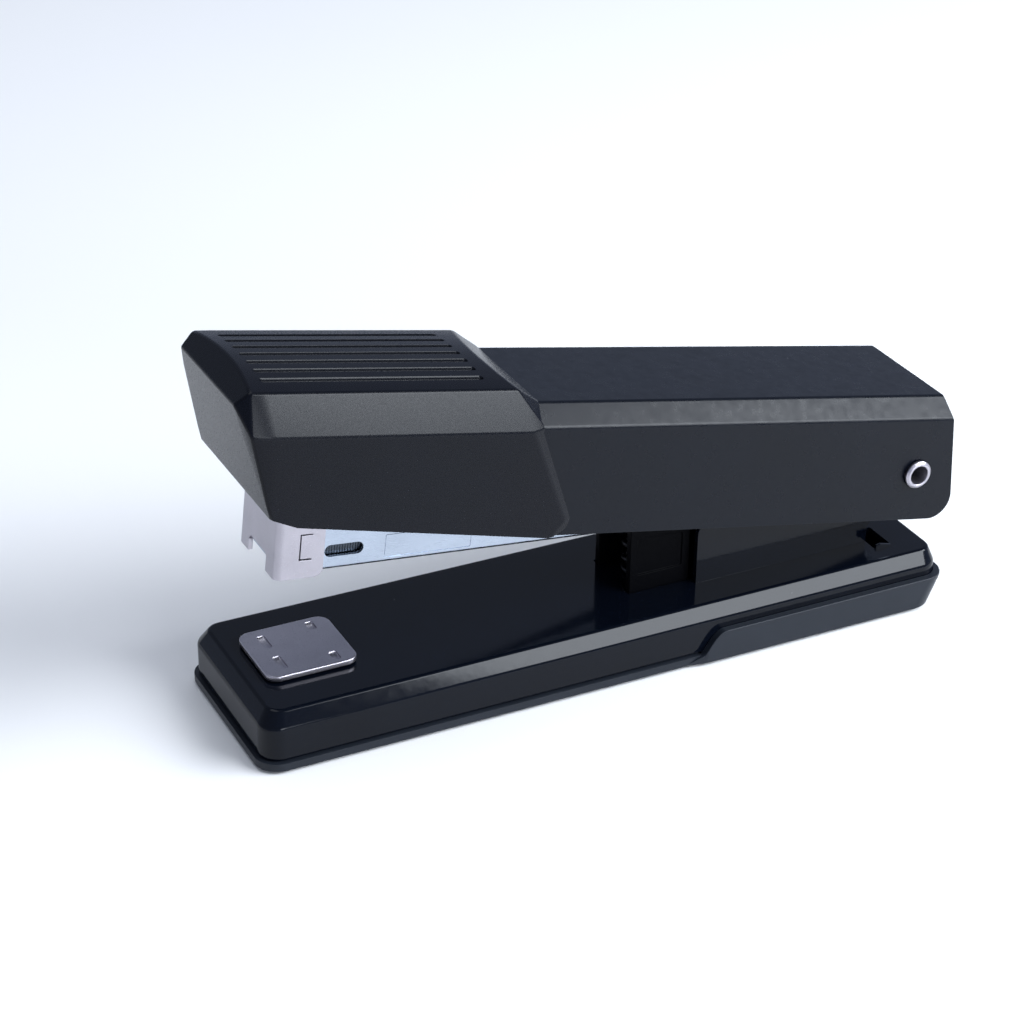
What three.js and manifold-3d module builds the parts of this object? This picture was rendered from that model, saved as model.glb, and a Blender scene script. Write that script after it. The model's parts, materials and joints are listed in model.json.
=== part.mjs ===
// Full-strip desk stapler: a steel base plate in a plastic shell, a hinged staple magazine and a
// hinged handle with its driver. Millimetres, +X from the nose to the hinge end, +Z up, shown at rest.
import * as THREE from "three";
import { mergeVertices } from "three/addons/utils/BufferGeometryUtils.js";
import Module from "manifold-3d";

const wasm = await Module();
wasm.setup();

// ---------------------------------------------------------------- driving dimensions
// Handle and magazine sizes are given from the hinge axis: a reach towards the nose and a level above
// the axis, both measured along the piece before it is tilted to its rest angle.

const GAP = 0.3; // between neighbouring pieces
const BITE = 3; // how far a cutting tool runs past the face it cuts
const ROUND_STEPS = 3; // two straight sides each in a quarter round
const ROD_SIDES = 24;
const WIRE_SIDES = 3; // half the sides of a wire
const COIL_STEPS = 12; // straight stretches in one turn of a coil
const CROWN_STEPS = 8; // flat strips across the cap's crowned top

const hinge = { height: 29.5, shank: 2.3, bore: 1.6, flare: 2.9, mouth: 2, lip: 0.9, bushWall: 1.6 };
const rest = { handle: 10.9, magazine: 6.1 }; // degrees above level

const driver = { reach: 129.6, sheet: 0.5, sideGap: 0.25, tipBelow: 0.15, flange: 16 };
const staple = { half: 6.45, wire: 0.5, leg: 6, crown: -2.6, count: 50, pitch: 0.52 };

const plate = {
  beyondAnvil: 5.08, rear: 6.7, top: 11.8, bevelDrop: 3, bevelRun: 2, sideHalf: 18.7,
  endBevel: 2, rearDrop: 1.5, rearRun: 2, sheet: 1.2, corner: 4,
};
const ear = {
  clearance: 0.5, sheet: 1.2, round: 5.5, rootFront: -44.5, frontTop: 24, rootRear: -5.4, waist: 3.5,
  leaves: 104, returns: -36, // degrees round the eye where the web joins it
};
const lance = { length: 4, inside: 4.6, outside: 3.2 }; // window in the plate beside each ear
const shell = {
  bottom: 0.6, floor: 1.6, rimProud: 0.8, wall: 1.5, ribTop: 8, cornerProud: 0.6,
  bootFront: -48.6, bootRun: 5, bootLean: 0.6, bootTop: 6.9, bootWall: 1.3, bootRear: 0.7,
  bootUndercut: 2.6, lipHeight: 0.6,
};
const clip = { length: 5, height: 2.4, level: 5.4, fromEnd: 14, bump: 0.9 };
const foot = { length: 20, width: 27, recess: 0.8, fromAnvil: 22.92, fromRear: 11.1, corner: 3 };

const channel = { sheet: 0.75, legRoom: 0.4, top: 0.6, hingeTop: 5.2, tail: 5.4, rampFoot: 14 };
const slot = { fromNose: 9.8, length: 7.6, height: 2.4, aboveBottom: 3.85 };
const nose = { clearance: 0.5, wrap: 9.2, sheet: 0.9, below: 0.35, top: 2, round: 1.5 };
const notch = { half: 4.1, height: 3.4 };
const tab = { fromFace: 4.5, length: 2.3, top: -1.4, height: 5, slit: 0.4 };
const rail = { rear: 24, sheet: 0.6, slotRear: 28, slotFromTip: 5.6, bottomGap: 0.3 };
const pusher = {
  length: 16, grip: 5, gripIn: 2.45, gripHeight: 4.2, roof: 0.8, tongueHalf: 1.1, tongue: 3.2,
};
const tension = { radius: 1.6, wire: 0.35, turns: 9, aboveBottom: 3.65, fromTip: 4, anchorRadius: 0.6 };

const bracket = { front: -58, rear: -45, inset: 0.5, wall: 1.6, roof: 1.4, hook: 1.2, hookHeight: 1.5 };
const bracketRivet = { radius: 1.1, head: 2, headHeight: 0.7 };
const lift = { radius: 3.6, wire: 0.45, turns: 4 };
const closing = { angle: 8.1 }; // degrees the magazine swings down from rest

const cover = {
  sideHalf: 16.5, bevelRun: 3.95, top: 14.9, bevelDrop: 3.5, bottom: -10.2, sheet: 1,
  tail: 4.8, slant: 5.45, corner: 4.5, behindBrow: 10.6, tuck: 1.2,
};
// the cap's reaches are measured back from its brow, which stands forward of the driver
const cap = {
  forward: 15, bevelRun: 3.75, roof: 2.7, bevelDrop: 6.9, crown: 1.25, wall: 0.8, frontWall: 2.2,
  browDrop: 2.6, browRun: 2.3, chin: 8.2, chinLevel: -4.5, jaw: 13.4, jawLevel: -6.1,
  cornerIn: 1, cornerRun: 4.3, rearTop: 53.6, rearRoof: 59, rearSide: 59.3, rearFoot: 67.4,
  footLevel: -6.6, heel: 65.6, below: 0.1,
};
const groove = { count: 7, pitch: 3.3, front: 5.5, rear: 48.2, width: 1.1, depth: 0.8 };
const beam = { half: 6.4, sheet: 1.2, rear: 14 };
const driverRivet = { radius: 1.1, head: 2, headHeight: 0.6, fromTip: [3.6, 12.1] };
const capScrew = { radius: 1.2, head: 2.4, headHeight: 1.3, depth: 2.2, fromBrow: [36.6, 47.6] };
const torsion = { radius: 3.4, wire: 0.5, turns: 6, pitch: 1.35, arm: 8, armAngle: 35 };

const anvil = { length: 18, margin: 2.05, sheet: 1.2, corner: 2.5, toCrimp: 5 };
const crimp = { width: 1.6, inner: 1.6, outside: 0.25, depth: 0.6 };
const button = { stem: 2.2, cap: 5, capBottom: 0.4, edge: 0.6, flange: 6.6, flangeHeight: 1 };
const buttonSpring = { radius: 3.4, wire: 0.35, turns: 4 };

// ---------------------------------------------------------------- sizes worked out from those above

const RAD = Math.PI / 180;
const hingeHole = hinge.shank + GAP;
const plateUnder = plate.top - plate.sheet;
const plateBevelLow = plate.top - plate.bevelDrop;
const shellFloorTop = shell.bottom + shell.floor;
const plateBottom = shellFloorTop + GAP;
const bootHalf = plate.sideHalf + GAP + shell.bootWall;
const shellRear = plate.rear + GAP + shell.bootRear;
const skirtEnd = plate.rear - plate.corner; // behind this the plate's skirt stands on the boot
const ledgeTop = shell.bootTop - shell.lipHeight;

const channelInner = staple.half + GAP;
const channelHalf = channelInner + channel.sheet;
const channelFloorTop = staple.crown - staple.leg - channel.legRoom;
const channelBottom = channelFloorTop - channel.sheet;
const earInner = channelHalf + ear.clearance;
const earOuter = earInner + ear.sheet;
const driverHalf = staple.half - driver.sideGap;
const bladeBack = driver.reach - driver.sheet;
const channelFront = bladeBack - GAP;
const stapleInner = staple.half - staple.wire;
const railHalf = stapleInner - GAP;
const railTop = staple.crown - staple.wire - GAP;
const stripFront = channelFront - GAP / 3;
const stripRear = stripFront - staple.count * staple.pitch;
const pusherFront = stripRear - GAP;
const noseHalf = channelHalf + GAP + nose.sheet;
const noseReach = driver.reach + nose.clearance + nose.sheet;
const noseBottom = channelBottom - nose.below;
const tensionLevel = channelBottom + tension.aboveBottom;

const ceiling = cover.top - cover.sheet;
const beamTop = ceiling - GAP;
const beamUnder = beamTop - beam.sheet;
const flangeTop = beamUnder - GAP;
const flangeUnder = flangeTop - driver.sheet;
const capCeiling = cover.top + GAP;
const capTop = capCeiling + cap.roof;
const capHalf = cover.sideHalf + GAP + cap.wall;
const capTopHalf = capHalf - cap.bevelRun;
const capBevelLow = capTop - cap.bevelDrop;
const capBottom = cover.bottom - cap.below;
const brow = driver.reach + cap.forward;
const chin = brow - cap.chin;
const jaw = brow - cap.jaw;
const heel = brow - cap.heel;
const coverReach = brow - cover.behindBrow;
const coverBevelLow = cover.top - cover.bevelDrop;
const rivetReaches = driverRivet.fromTip.map((back) => driver.reach - back);
const screwReaches = capScrew.fromBrow.map((back) => brow - back);

const bracketHalf = channelHalf - bracket.inset;
const bracketRoofTop = channelBottom - GAP;
const bracketRoofUnder = bracketRoofTop - bracket.roof;
const bracketMiddle = (bracket.front + bracket.rear) / 2;
const hookTop = plateUnder - GAP;

// the staple leaves the nose here when the magazine is swung down
const closedTilt = (rest.magazine - closing.angle) * RAD;
const staplePath = driver.reach - driver.sheet / 2;
const crimpX = -staplePath * Math.cos(closedTilt) + noseBottom * Math.sin(closedTilt);
const anvilX = crimpX + anvil.toCrimp;
const anvilBottom = plate.top + GAP;
const anvilHalf = staple.half + anvil.margin;
const plateFront = anvilX - anvil.length / 2 - plate.beyondAnvil;

// ---------------------------------------------------------------- drawing helpers

function outline(points) {
  return new THREE.Shape(points.map(([across, up]) => new THREE.Vector2(across, up)));
}

// points given as [reach, level] from the hinge axis, the nose lying towards -X
function sideOutline(points) {
  return outline(points.map(([reach, level]) => [-reach, level]));
}

function roundedRectangle(x0, x1, y0, y1, radius) {
  const shape = new THREE.Shape();
  shape.moveTo(x0 + radius, y0);
  shape.absarc(x1 - radius, y0 + radius, radius, -Math.PI / 2, 0);
  shape.absarc(x1 - radius, y1 - radius, radius, 0, Math.PI / 2);
  shape.absarc(x0 + radius, y1 - radius, radius, Math.PI / 2, Math.PI);
  shape.absarc(x0 + radius, y0 + radius, radius, Math.PI, 1.5 * Math.PI);
  return shape;
}

function solidOf(geometry) {
  const bare = geometry.clone();
  bare.deleteAttribute("normal");
  bare.deleteAttribute("uv");
  const welded = mergeVertices(bare, 1e-5);
  return new wasm.Manifold(new wasm.Mesh({
    numProp: 3,
    vertProperties: new Float32Array(welded.attributes.position.array),
    triVerts: new Uint32Array(welded.index.array),
  }));
}

function geometryOf(solid) {
  const mesh = solid.getMesh();
  const geometry = new THREE.BufferGeometry();
  geometry.setAttribute("position", new THREE.BufferAttribute(new Float32Array(mesh.vertProperties), 3));
  geometry.setIndex(new THREE.BufferAttribute(new Uint32Array(mesh.triVerts), 1));
  geometry.computeVertexNormals();
  return geometry;
}

const X = new THREE.Vector3(1, 0, 0);
const Y = new THREE.Vector3(0, 1, 0);
const Z = new THREE.Vector3(0, 0, 1);

function extrusion(shape, depth) {
  return new THREE.ExtrudeGeometry(shape, { depth, bevelEnabled: false, curveSegments: ROUND_STEPS });
}

// a shape drawn in Y and Z, swept along X
function alongX(shape, from, to) {
  const geometry = extrusion(shape, to - from).translate(0, 0, from);
  return solidOf(geometry.applyMatrix4(new THREE.Matrix4().makeBasis(Y, Z, X)));
}

// a shape drawn in X and Z, swept along Y
function alongY(shape, from, to) {
  const geometry = extrusion(shape, to - from).translate(0, 0, -to);
  return solidOf(geometry.applyMatrix4(new THREE.Matrix4().makeBasis(X, Z, Y.clone().negate())));
}

// a shape drawn in X and Y, raised along Z
function alongZ(shape, from, to) {
  return solidOf(extrusion(shape, to - from).translate(0, 0, from));
}

function block(x0, x1, y0, y1, z0, z1) {
  const geometry = new THREE.BoxGeometry(x1 - x0, y1 - y0, z1 - z0);
  return solidOf(geometry.translate((x0 + x1) / 2, (y0 + y1) / 2, (z0 + z1) / 2));
}

function rodAlongY(radius, x, z, from, to) {
  const geometry = new THREE.CylinderGeometry(radius, radius, to - from, ROD_SIDES);
  return solidOf(geometry.translate(x, (from + to) / 2, z));
}

function rodAlongZ(radius, x, y, from, to) {
  const geometry = new THREE.CylinderGeometry(radius, radius, to - from, ROD_SIDES);
  return solidOf(geometry.rotateX(Math.PI / 2).translate(x, y, (from + to) / 2));
}

// a profile of [radius, height] turned about the vertical through (x, y)
function turnedAboutZ(profile, x, y) {
  const points = profile.map(([radius, height]) => new THREE.Vector2(radius, height));
  const geometry = new THREE.LatheGeometry(points, ROD_SIDES);
  return solidOf(geometry.rotateX(Math.PI / 2).translate(x, y, 0));
}

// a profile of [radius, distance] turned about the hinge axis
function turnedAboutY(profile) {
  const points = profile.map(([radius, distance]) => new THREE.Vector2(radius, distance));
  return solidOf(new THREE.LatheGeometry(points, ROD_SIDES));
}

// everything beyond the plane through three points, away from a point inside the piece
function beyondPlane(points, inside) {
  const size = 60;
  const [p, q, r, within] = [...points, inside].map((point) => new THREE.Vector3(...point));
  const out = q.clone().sub(p).cross(r.clone().sub(p)).normalize();
  if (out.dot(within.sub(p)) > 0) out.negate();
  const geometry = new THREE.BoxGeometry(size, size, size).translate(0, 0, size / 2);
  geometry.applyQuaternion(new THREE.Quaternion().setFromUnitVectors(Z, out));
  return solidOf(geometry.translate(p.x, p.y, p.z));
}

function both(make) {
  return make(-1).add(make(1));
}

// a box between two distances from the middle plane, on one side of it
function sideBlock(side, x0, x1, inner, outer, z0, z1) {
  const [y0, y1] = side < 0 ? [-outer, -inner] : [inner, outer];
  return block(x0, x1, y0, y1, z0, z1);
}

// inside corner of a bevelled sheet: how far the bevel's two ends move when it is inset
function bevelShift(run, drop, inset) {
  const slope = Math.hypot(run, drop);
  return { across: inset * (slope - run) / drop, down: inset * (slope - drop) / run };
}

// cross-section of a channel with bevelled shoulders, its faces inset by a sheet thickness
function bevelledSection(size, inset, bottom, crown = 0) {
  const { sideHalf, top, bevelRun, bevelDrop } = size;
  const shift = bevelShift(bevelRun, bevelDrop, inset);
  const half = sideHalf - bevelRun - shift.across;
  const side = sideHalf - inset;
  const low = top - bevelDrop - shift.down;
  const points = [[-side, bottom], [side, bottom], [side, low], [half, top - inset]];
  const steps = crown > 0 ? CROWN_STEPS : 1;
  for (let i = 1; i < steps; i += 1) {
    const y = half * (1 - 2 * i / steps);
    points.push([y, top - inset + crown * (1 - (y / half) ** 2)]);
  }
  points.push([-half, top - inset], [-side, low]);
  return outline(points);
}

class Helix extends THREE.Curve {
  constructor(radius, turns, length) {
    super();
    Object.assign(this, { radius, turns, length });
  }

  getPoint(t) {
    const angle = 2 * Math.PI * this.turns * t;
    return new THREE.Vector3(
      this.radius * Math.cos(angle), this.radius * Math.sin(angle), this.length * t,
    );
  }
}

function wireAlong(curve, radius, steps) {
  const section = new THREE.Shape().absarc(0, 0, radius, 0, 2 * Math.PI);
  return new THREE.ExtrudeGeometry(section, {
    steps, extrudePath: curve, bevelEnabled: false, curveSegments: WIRE_SIDES,
  });
}

function coil(size, length) {
  const curve = new Helix(size.radius, size.turns, length - 2 * size.wire);
  const geometry = wireAlong(curve, size.wire, size.turns * COIL_STEPS);
  return geometry.translate(0, 0, size.wire);
}

// ---------------------------------------------------------------- base

function plateForm(inset, bottom) {
  const shift = bevelShift(plate.endBevel, plate.bevelDrop, inset);
  const rearShift = bevelShift(plate.rearRun, plate.rearDrop, inset);
  const front = plateFront + inset;
  const rear = plate.rear - inset;
  const top = plate.top - inset;
  const side = alongY(outline([
    [front, bottom], [rear, bottom], [rear, plate.top - plate.rearDrop - rearShift.down],
    [plate.rear - plate.rearRun - rearShift.across, top],
    [plateFront + plate.endBevel + shift.across, top], [front, plateBevelLow - shift.down],
  ]), -plate.sideHalf, plate.sideHalf);
  const half = plate.sideHalf - inset;
  const plan = roundedRectangle(front, rear, -half, half, plate.corner - inset);
  return alongX(bevelledSection(plate, inset, bottom), front, rear)
    .intersect(side)
    .intersect(alongZ(plan, bottom, plate.top));
}

function hingeEar(side) {
  const shape = new THREE.Shape();
  shape.moveTo(ear.rootFront, plateUnder);
  shape.lineTo(ear.rootFront, ear.frontTop);
  shape.absarc(0, hinge.height, ear.round, ear.leaves * RAD, ear.returns * RAD, true);
  shape.lineTo(ear.rootRear, plate.top + ear.waist);
  shape.lineTo(ear.rootRear, plateUnder);
  const [from, to] = side < 0 ? [-earOuter, -earInner] : [earInner, earOuter];
  return alongY(shape, from, to);
}

function clipSpots() {
  return [plateFront + clip.fromEnd, plate.rear - clip.fromEnd];
}

function clipBlocks(inner, outer, margin) {
  const half = clip.length / 2 + margin;
  const tall = clip.height / 2 + margin;
  return clipSpots()
    .map((x) => both((side) => sideBlock(
      side, x - half, x + half, inner, outer, clip.level - tall, clip.level + tall,
    )))
    .reduce((all, one) => all.add(one));
}

function bracketSwing() {
  const drop = hinge.height - plateUnder;
  return drop * Math.sin(closing.angle * RAD);
}

function basePlate() {
  const legInner = bracketHalf - bracket.wall - GAP;
  const slots = both((side) => sideBlock(
    side, bracket.front - GAP, bracket.rear + bracketSwing() + GAP, legInner, bracketHalf + GAP,
    plateUnder - BITE, plate.top + BITE,
  ));
  const windows = both((side) => sideBlock(
    side, ear.rootRear, ear.rootRear + lance.length, earOuter - lance.inside, earOuter + lance.outside,
    plateUnder - BITE, plate.top + BITE,
  ));
  const shortSkirt = block(
    skirtEnd, plate.rear + BITE, -2 * plate.sideHalf, 2 * plate.sideHalf, 0, ledgeTop + GAP,
  );
  return plateForm(0, plateBottom)
    .subtract(plateForm(plate.sheet, plateBottom - BITE))
    .subtract(shortSkirt)
    .add(both(hingeEar))
    .subtract(rodAlongY(hingeHole, 0, hinge.height, -plate.sideHalf, plate.sideHalf))
    .subtract(slots)
    .subtract(windows)
    .subtract(rodAlongZ(button.stem + GAP, anvilX, 0, plateUnder - BITE, plate.top + BITE))
    .subtract(clipBlocks(plate.sideHalf - plate.sheet - BITE, plate.sideHalf + BITE, GAP));
}

function shellBoot() {
  const profile = new THREE.Shape();
  const rise = shell.bootFront + shell.bootRun;
  const middle = (shell.bootFront + rise) / 2;
  profile.moveTo(shell.bootFront - BITE, shell.bottom);
  profile.lineTo(shell.bootFront, shellFloorTop);
  profile.bezierCurveTo(
    middle, shellFloorTop, middle - shell.bootLean, shell.bootTop, rise, shell.bootTop,
  );
  profile.lineTo(shellRear, shell.bootTop);
  profile.lineTo(shellRear, ledgeTop);
  profile.lineTo(shellRear - shell.bootUndercut, shell.bottom);
  const front = shell.bootFront - 2 * BITE;
  const corner = plate.corner + shell.bootRear;
  const plan = roundedRectangle(front, shellRear, -bootHalf, bootHalf, corner);
  const room = plate.sideHalf + GAP;
  const pocket = roundedRectangle(front - BITE, plate.rear + GAP, -room, room, plate.corner + GAP);
  return alongY(profile, -bootHalf, bootHalf)
    .intersect(alongZ(plan, shell.bottom, plate.top))
    .subtract(block(front - BITE, skirtEnd + GAP, -room, room, shellFloorTop, plate.top))
    .subtract(alongZ(pocket, ledgeTop, plate.top));
}

function shellRib() {
  const half = plate.sideHalf - plate.sheet - GAP;
  const front = plateFront + plate.sheet + GAP;
  const rear = plate.rear - plate.sheet - GAP;
  const corner = plate.corner - plate.sheet - GAP;
  const outer = roundedRectangle(front, rear, -half, half, corner);
  const inner = roundedRectangle(
    front + shell.wall, rear - shell.wall, shell.wall - half, half - shell.wall, corner / 2,
  );
  return alongZ(outer, shell.bottom, shell.ribTop)
    .subtract(alongZ(inner, shell.bottom - BITE, shell.ribTop + BITE))
    .add(clipBlocks(half - shell.wall, half + GAP + clip.bump, 0));
}

function footSpots() {
  return {
    front: anvilX + foot.fromAnvil,
    rear: plate.rear - foot.fromRear - foot.length / 2,
  };
}

function footPad(x, grow, bottom, top) {
  const long = foot.length / 2 + grow;
  const wide = foot.width / 2 + grow;
  return alongZ(roundedRectangle(x - long, x + long, -wide, wide, foot.corner + grow), bottom, top);
}

function baseShell() {
  const half = plate.sideHalf + shell.rimProud;
  const front = plateFront - shell.rimProud;
  const corner = plate.corner + shell.cornerProud;
  const rim = roundedRectangle(front, plate.rear - 2 * plate.corner, -half, half, corner);
  const recess = shell.bottom + foot.recess;
  const spots = footSpots();
  const well = block(
    bracket.front - bracket.hook, bracket.rear + bracketSwing() + 2 * BITE,
    -bracketHalf - 2 * bracket.hook, bracketHalf + 2 * bracket.hook,
    shell.bottom - BITE, shellFloorTop + BITE,
  );
  return alongZ(rim, shell.bottom, shellFloorTop)
    .add(shellBoot())
    .add(shellRib())
    .subtract(well)
    .subtract(rodAlongZ(button.cap + GAP, anvilX, 0, shell.bottom - BITE, shellFloorTop + BITE))
    .subtract(footPad(spots.front, GAP, shell.bottom - BITE, recess))
    .subtract(footPad(spots.rear, GAP, shell.bottom - BITE, recess));
}

function rubberFoot(x) {
  return footPad(x, 0, 0, shell.bottom + foot.recess - GAP);
}

function underside(x, level) {
  const tilt = rest.magazine * RAD;
  return hinge.height - x * Math.tan(tilt) + level / Math.cos(tilt);
}

function liftSpring() {
  const foothold = plate.top + GAP;
  const lowest = underside(bracketMiddle + lift.radius + lift.wire, bracketRoofUnder);
  return coil(lift, lowest - GAP - foothold).translate(bracketMiddle, 0, foothold);
}

// ---------------------------------------------------------------- anvil

function crimpPocket(x, inner, outer) {
  const top = anvilBottom + anvil.sheet;
  return both((side) => sideBlock(
    side, x - crimp.width / 2, x + crimp.width / 2, inner, outer, top - crimp.depth, top + BITE,
  ));
}

function anvilPlate() {
  const long = anvil.length / 2;
  const plan = roundedRectangle(anvilX - long, anvilX + long, -anvilHalf, anvilHalf, anvil.corner);
  return alongZ(plan, anvilBottom, anvilBottom + anvil.sheet)
    .subtract(crimpPocket(anvilX - anvil.toCrimp, crimp.inner, staple.half - crimp.outside))
    .subtract(crimpPocket(anvilX + anvil.toCrimp, anvilHalf / 2, anvilHalf - anvil.sheet));
}

function anvilButton() {
  const flangeUnderside = shellFloorTop + GAP;
  const flangeTopside = flangeUnderside + button.flangeHeight;
  return turnedAboutZ([
    [0, button.capBottom], [button.cap - button.edge, button.capBottom],
    [button.cap, button.capBottom + button.edge],
    [button.cap, flangeUnderside], [button.flange, flangeUnderside], [button.flange, flangeTopside],
    [button.stem, flangeTopside], [button.stem, anvilBottom - GAP], [0, anvilBottom - GAP],
  ], anvilX, 0);
}

function anvilSpring() {
  const foothold = shellFloorTop + GAP + button.flangeHeight + GAP;
  return coil(buttonSpring, plateUnder - GAP - foothold).translate(anvilX, 0, foothold);
}

// ---------------------------------------------------------------- magazine, drawn level

function magazineChannel() {
  const section = outline([
    [-channelHalf, channelBottom], [channelHalf, channelBottom], [channelHalf, channel.hingeTop],
    [channelInner, channel.hingeTop], [channelInner, channelFloorTop],
    [-channelInner, channelFloorTop], [-channelInner, channel.hingeTop], [-channelHalf, channel.hingeTop],
  ]);
  const profile = sideOutline([
    [channelFront, channelBottom], [channelFront, channel.top], [channel.rampFoot, channel.top],
    [channel.rampFoot / 2, channel.hingeTop], [-channel.tail / 2, channel.hingeTop],
    [-channel.tail, channel.hingeTop / 2], [-channel.tail, -channel.hingeTop],
    [-channel.tail / 3, channelBottom],
  ]);
  const radius = slot.height / 2;
  const front = slot.fromNose - noseReach;
  const level = channelBottom + slot.aboveBottom;
  const slotShape = roundedRectangle(
    front, front + slot.length, level - radius, level + radius, radius - 0.01,
  );
  const rivetHole = rodAlongZ(
    bracketRivet.radius + GAP, -bracketReach(), 0, channelBottom - BITE, channelFloorTop + BITE,
  );
  return alongX(section, -channelFront, channel.tail)
    .intersect(alongY(profile, -channelHalf, channelHalf))
    .subtract(rodAlongY(hingeHole, 0, 0, -channelHalf - BITE, channelHalf + BITE))
    .subtract(alongY(slotShape, -channelHalf - BITE, channelHalf + BITE))
    .subtract(rivetHole);
}

function stapleRail() {
  const inner = railHalf - rail.sheet;
  const bottom = channelFloorTop + rail.bottomGap;
  const front = -channelFront;
  const rear = -rail.rear;
  const gate = pusher.tongueHalf + GAP;
  return block(front, rear, -railHalf, railHalf, bottom, railTop)
    .subtract(block(front - BITE, rear + BITE, -inner, inner, bottom - BITE, railTop - rail.sheet))
    .subtract(block(
      rail.slotFromTip - driver.reach, -rail.slotRear, -gate, gate, railTop - BITE, railTop + BITE,
    ));
}

function stapleStrip() {
  const bottom = staple.crown - staple.leg;
  return block(-stripFront, -stripRear, -staple.half, staple.half, bottom, staple.crown)
    .subtract(block(
      -stripFront - BITE, -stripRear + BITE, -stapleInner, stapleInner,
      bottom - BITE, staple.crown - staple.wire,
    ));
}

function nosePiece() {
  const half = noseHalf - nose.sheet;
  const rear = nose.wrap - noseReach;
  const face = -noseReach;
  const sideShape = new THREE.Shape();
  sideShape.moveTo(face, noseBottom);
  sideShape.lineTo(rear - nose.round, noseBottom);
  sideShape.absarc(rear - nose.round, noseBottom + nose.round, nose.round, -Math.PI / 2, 0);
  sideShape.lineTo(rear, nose.top);
  sideShape.lineTo(face, nose.top);
  const plan = roundedRectangle(face, rear + BITE, -noseHalf, noseHalf, nose.round);
  const tabX = face + tab.fromFace;
  const tabLow = tab.top - tab.height;
  const slit = tab.slit / 2;
  const cuts = both((side) => {
    const cut = (x0, x1, z0, z1) => sideBlock(side, x0, x1, half - BITE, noseHalf + BITE, z0, z1);
    return cut(tabX - slit, tabX + slit, tabLow, tab.top)
      .add(cut(tabX - slit, tabX + tab.length, tab.top - slit, tab.top + slit))
      .add(cut(tabX - slit, tabX + tab.length, tabLow - slit, tabLow + slit));
  });
  return alongY(sideShape, -noseHalf, noseHalf)
    .intersect(alongZ(plan, noseBottom - BITE, nose.top + BITE))
    .subtract(block(face + nose.sheet, rear + BITE, -half, half, noseBottom - BITE, nose.top + BITE))
    .subtract(block(
      face - BITE, face + nose.sheet + BITE, -notch.half, notch.half,
      noseBottom - BITE, noseBottom + notch.height,
    ))
    .subtract(cuts);
}

// where the stop bracket's middle lies along the tilted magazine
function bracketReach() {
  const tilt = rest.magazine * RAD;
  const height = underside(bracketMiddle, channelBottom) - hinge.height;
  return -bracketMiddle * Math.cos(tilt) + height * Math.sin(tilt);
}

function stopBracket() {
  const foothold = hookTop - bracket.hookHeight;
  const topAt = (x) => underside(x, bracketRoofTop);
  const underAt = (x) => underside(x, bracketRoofUnder);
  const { front, rear, wall } = bracket;
  const half = bracketHalf;
  const blank = alongY(outline([
    [front, foothold], [rear, foothold], [rear, topAt(rear)], [front, topAt(front)],
  ]), -half, half);
  const room = alongY(outline([
    [front - BITE, foothold - BITE], [rear + BITE, foothold - BITE],
    [rear + BITE, underAt(rear + BITE)], [front - BITE, underAt(front - BITE)],
  ]), wall - half, half - wall);
  const hooks = both((side) => sideBlock(
    side, front + 1, rear - 1, half - wall, half + bracket.hook, foothold, hookTop,
  ));
  const tilt = rest.magazine * RAD;
  const rivetHole = new THREE.CylinderGeometry(
    bracketRivet.radius + GAP, bracketRivet.radius + GAP, 4 * bracket.roof, ROD_SIDES,
  );
  rivetHole.rotateX(Math.PI / 2).translate(-bracketReach(), 0, (bracketRoofTop + bracketRoofUnder) / 2);
  rivetHole.rotateY(tilt).translate(0, 0, hinge.height);
  return blank.subtract(room).add(hooks).subtract(solidOf(rivetHole));
}

function rivetAcross(radius, head, headHeight, under, over, x) {
  return turnedAboutZ([
    [0, under - headHeight], [head, under - headHeight], [head, under], [radius, under],
    [radius, over], [head, over], [head, over + headHeight], [0, over + headHeight],
  ], x, 0);
}

function bracketRivetSolid() {
  const { radius, head, headHeight } = bracketRivet;
  return rivetAcross(
    radius, head, headHeight, bracketRoofUnder - GAP, channelFloorTop + GAP, -bracketReach(),
  );
}

function springAnchor() {
  const half = railHalf - rail.sheet - GAP;
  return rodAlongY(tension.anchorRadius, tension.fromTip - driver.reach, tensionLevel, -half, half);
}

function pusherSpring() {
  const front = tension.fromTip - driver.reach + tension.anchorRadius + GAP;
  const rear = -pusherFront - GAP;
  return coil(tension, rear - front)
    .applyMatrix4(new THREE.Matrix4().makeBasis(Y, Z, X))
    .translate(front, 0, tensionLevel);
}

function pusherSolid() {
  const front = -pusherFront;
  const rear = front + pusher.length;
  const bottom = staple.crown - staple.leg;
  const under = railTop + GAP;
  const top = under + pusher.roof;
  const depth = tensionLevel - tension.radius - tension.wire;
  const gripHalf = staple.half - pusher.gripIn;
  return block(front, rear, -staple.half, staple.half, bottom, top)
    .subtract(block(front - BITE, rear + BITE, -stapleInner, stapleInner, bottom - BITE, under))
    .add(block(
      rear - pusher.grip, rear, -gripHalf, gripHalf, under, top + pusher.gripHeight,
    ))
    .add(block(front, front + pusher.tongue, -pusher.tongueHalf, pusher.tongueHalf, depth, top));
}

// ---------------------------------------------------------------- handle, drawn level

// the cap's lower edge, which climbs from its heel to its jaw
function capEdge(reach) {
  const climb = (cap.jawLevel - capBottom) / (jaw - heel);
  return capBottom + (reach - heel) * climb;
}

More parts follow.
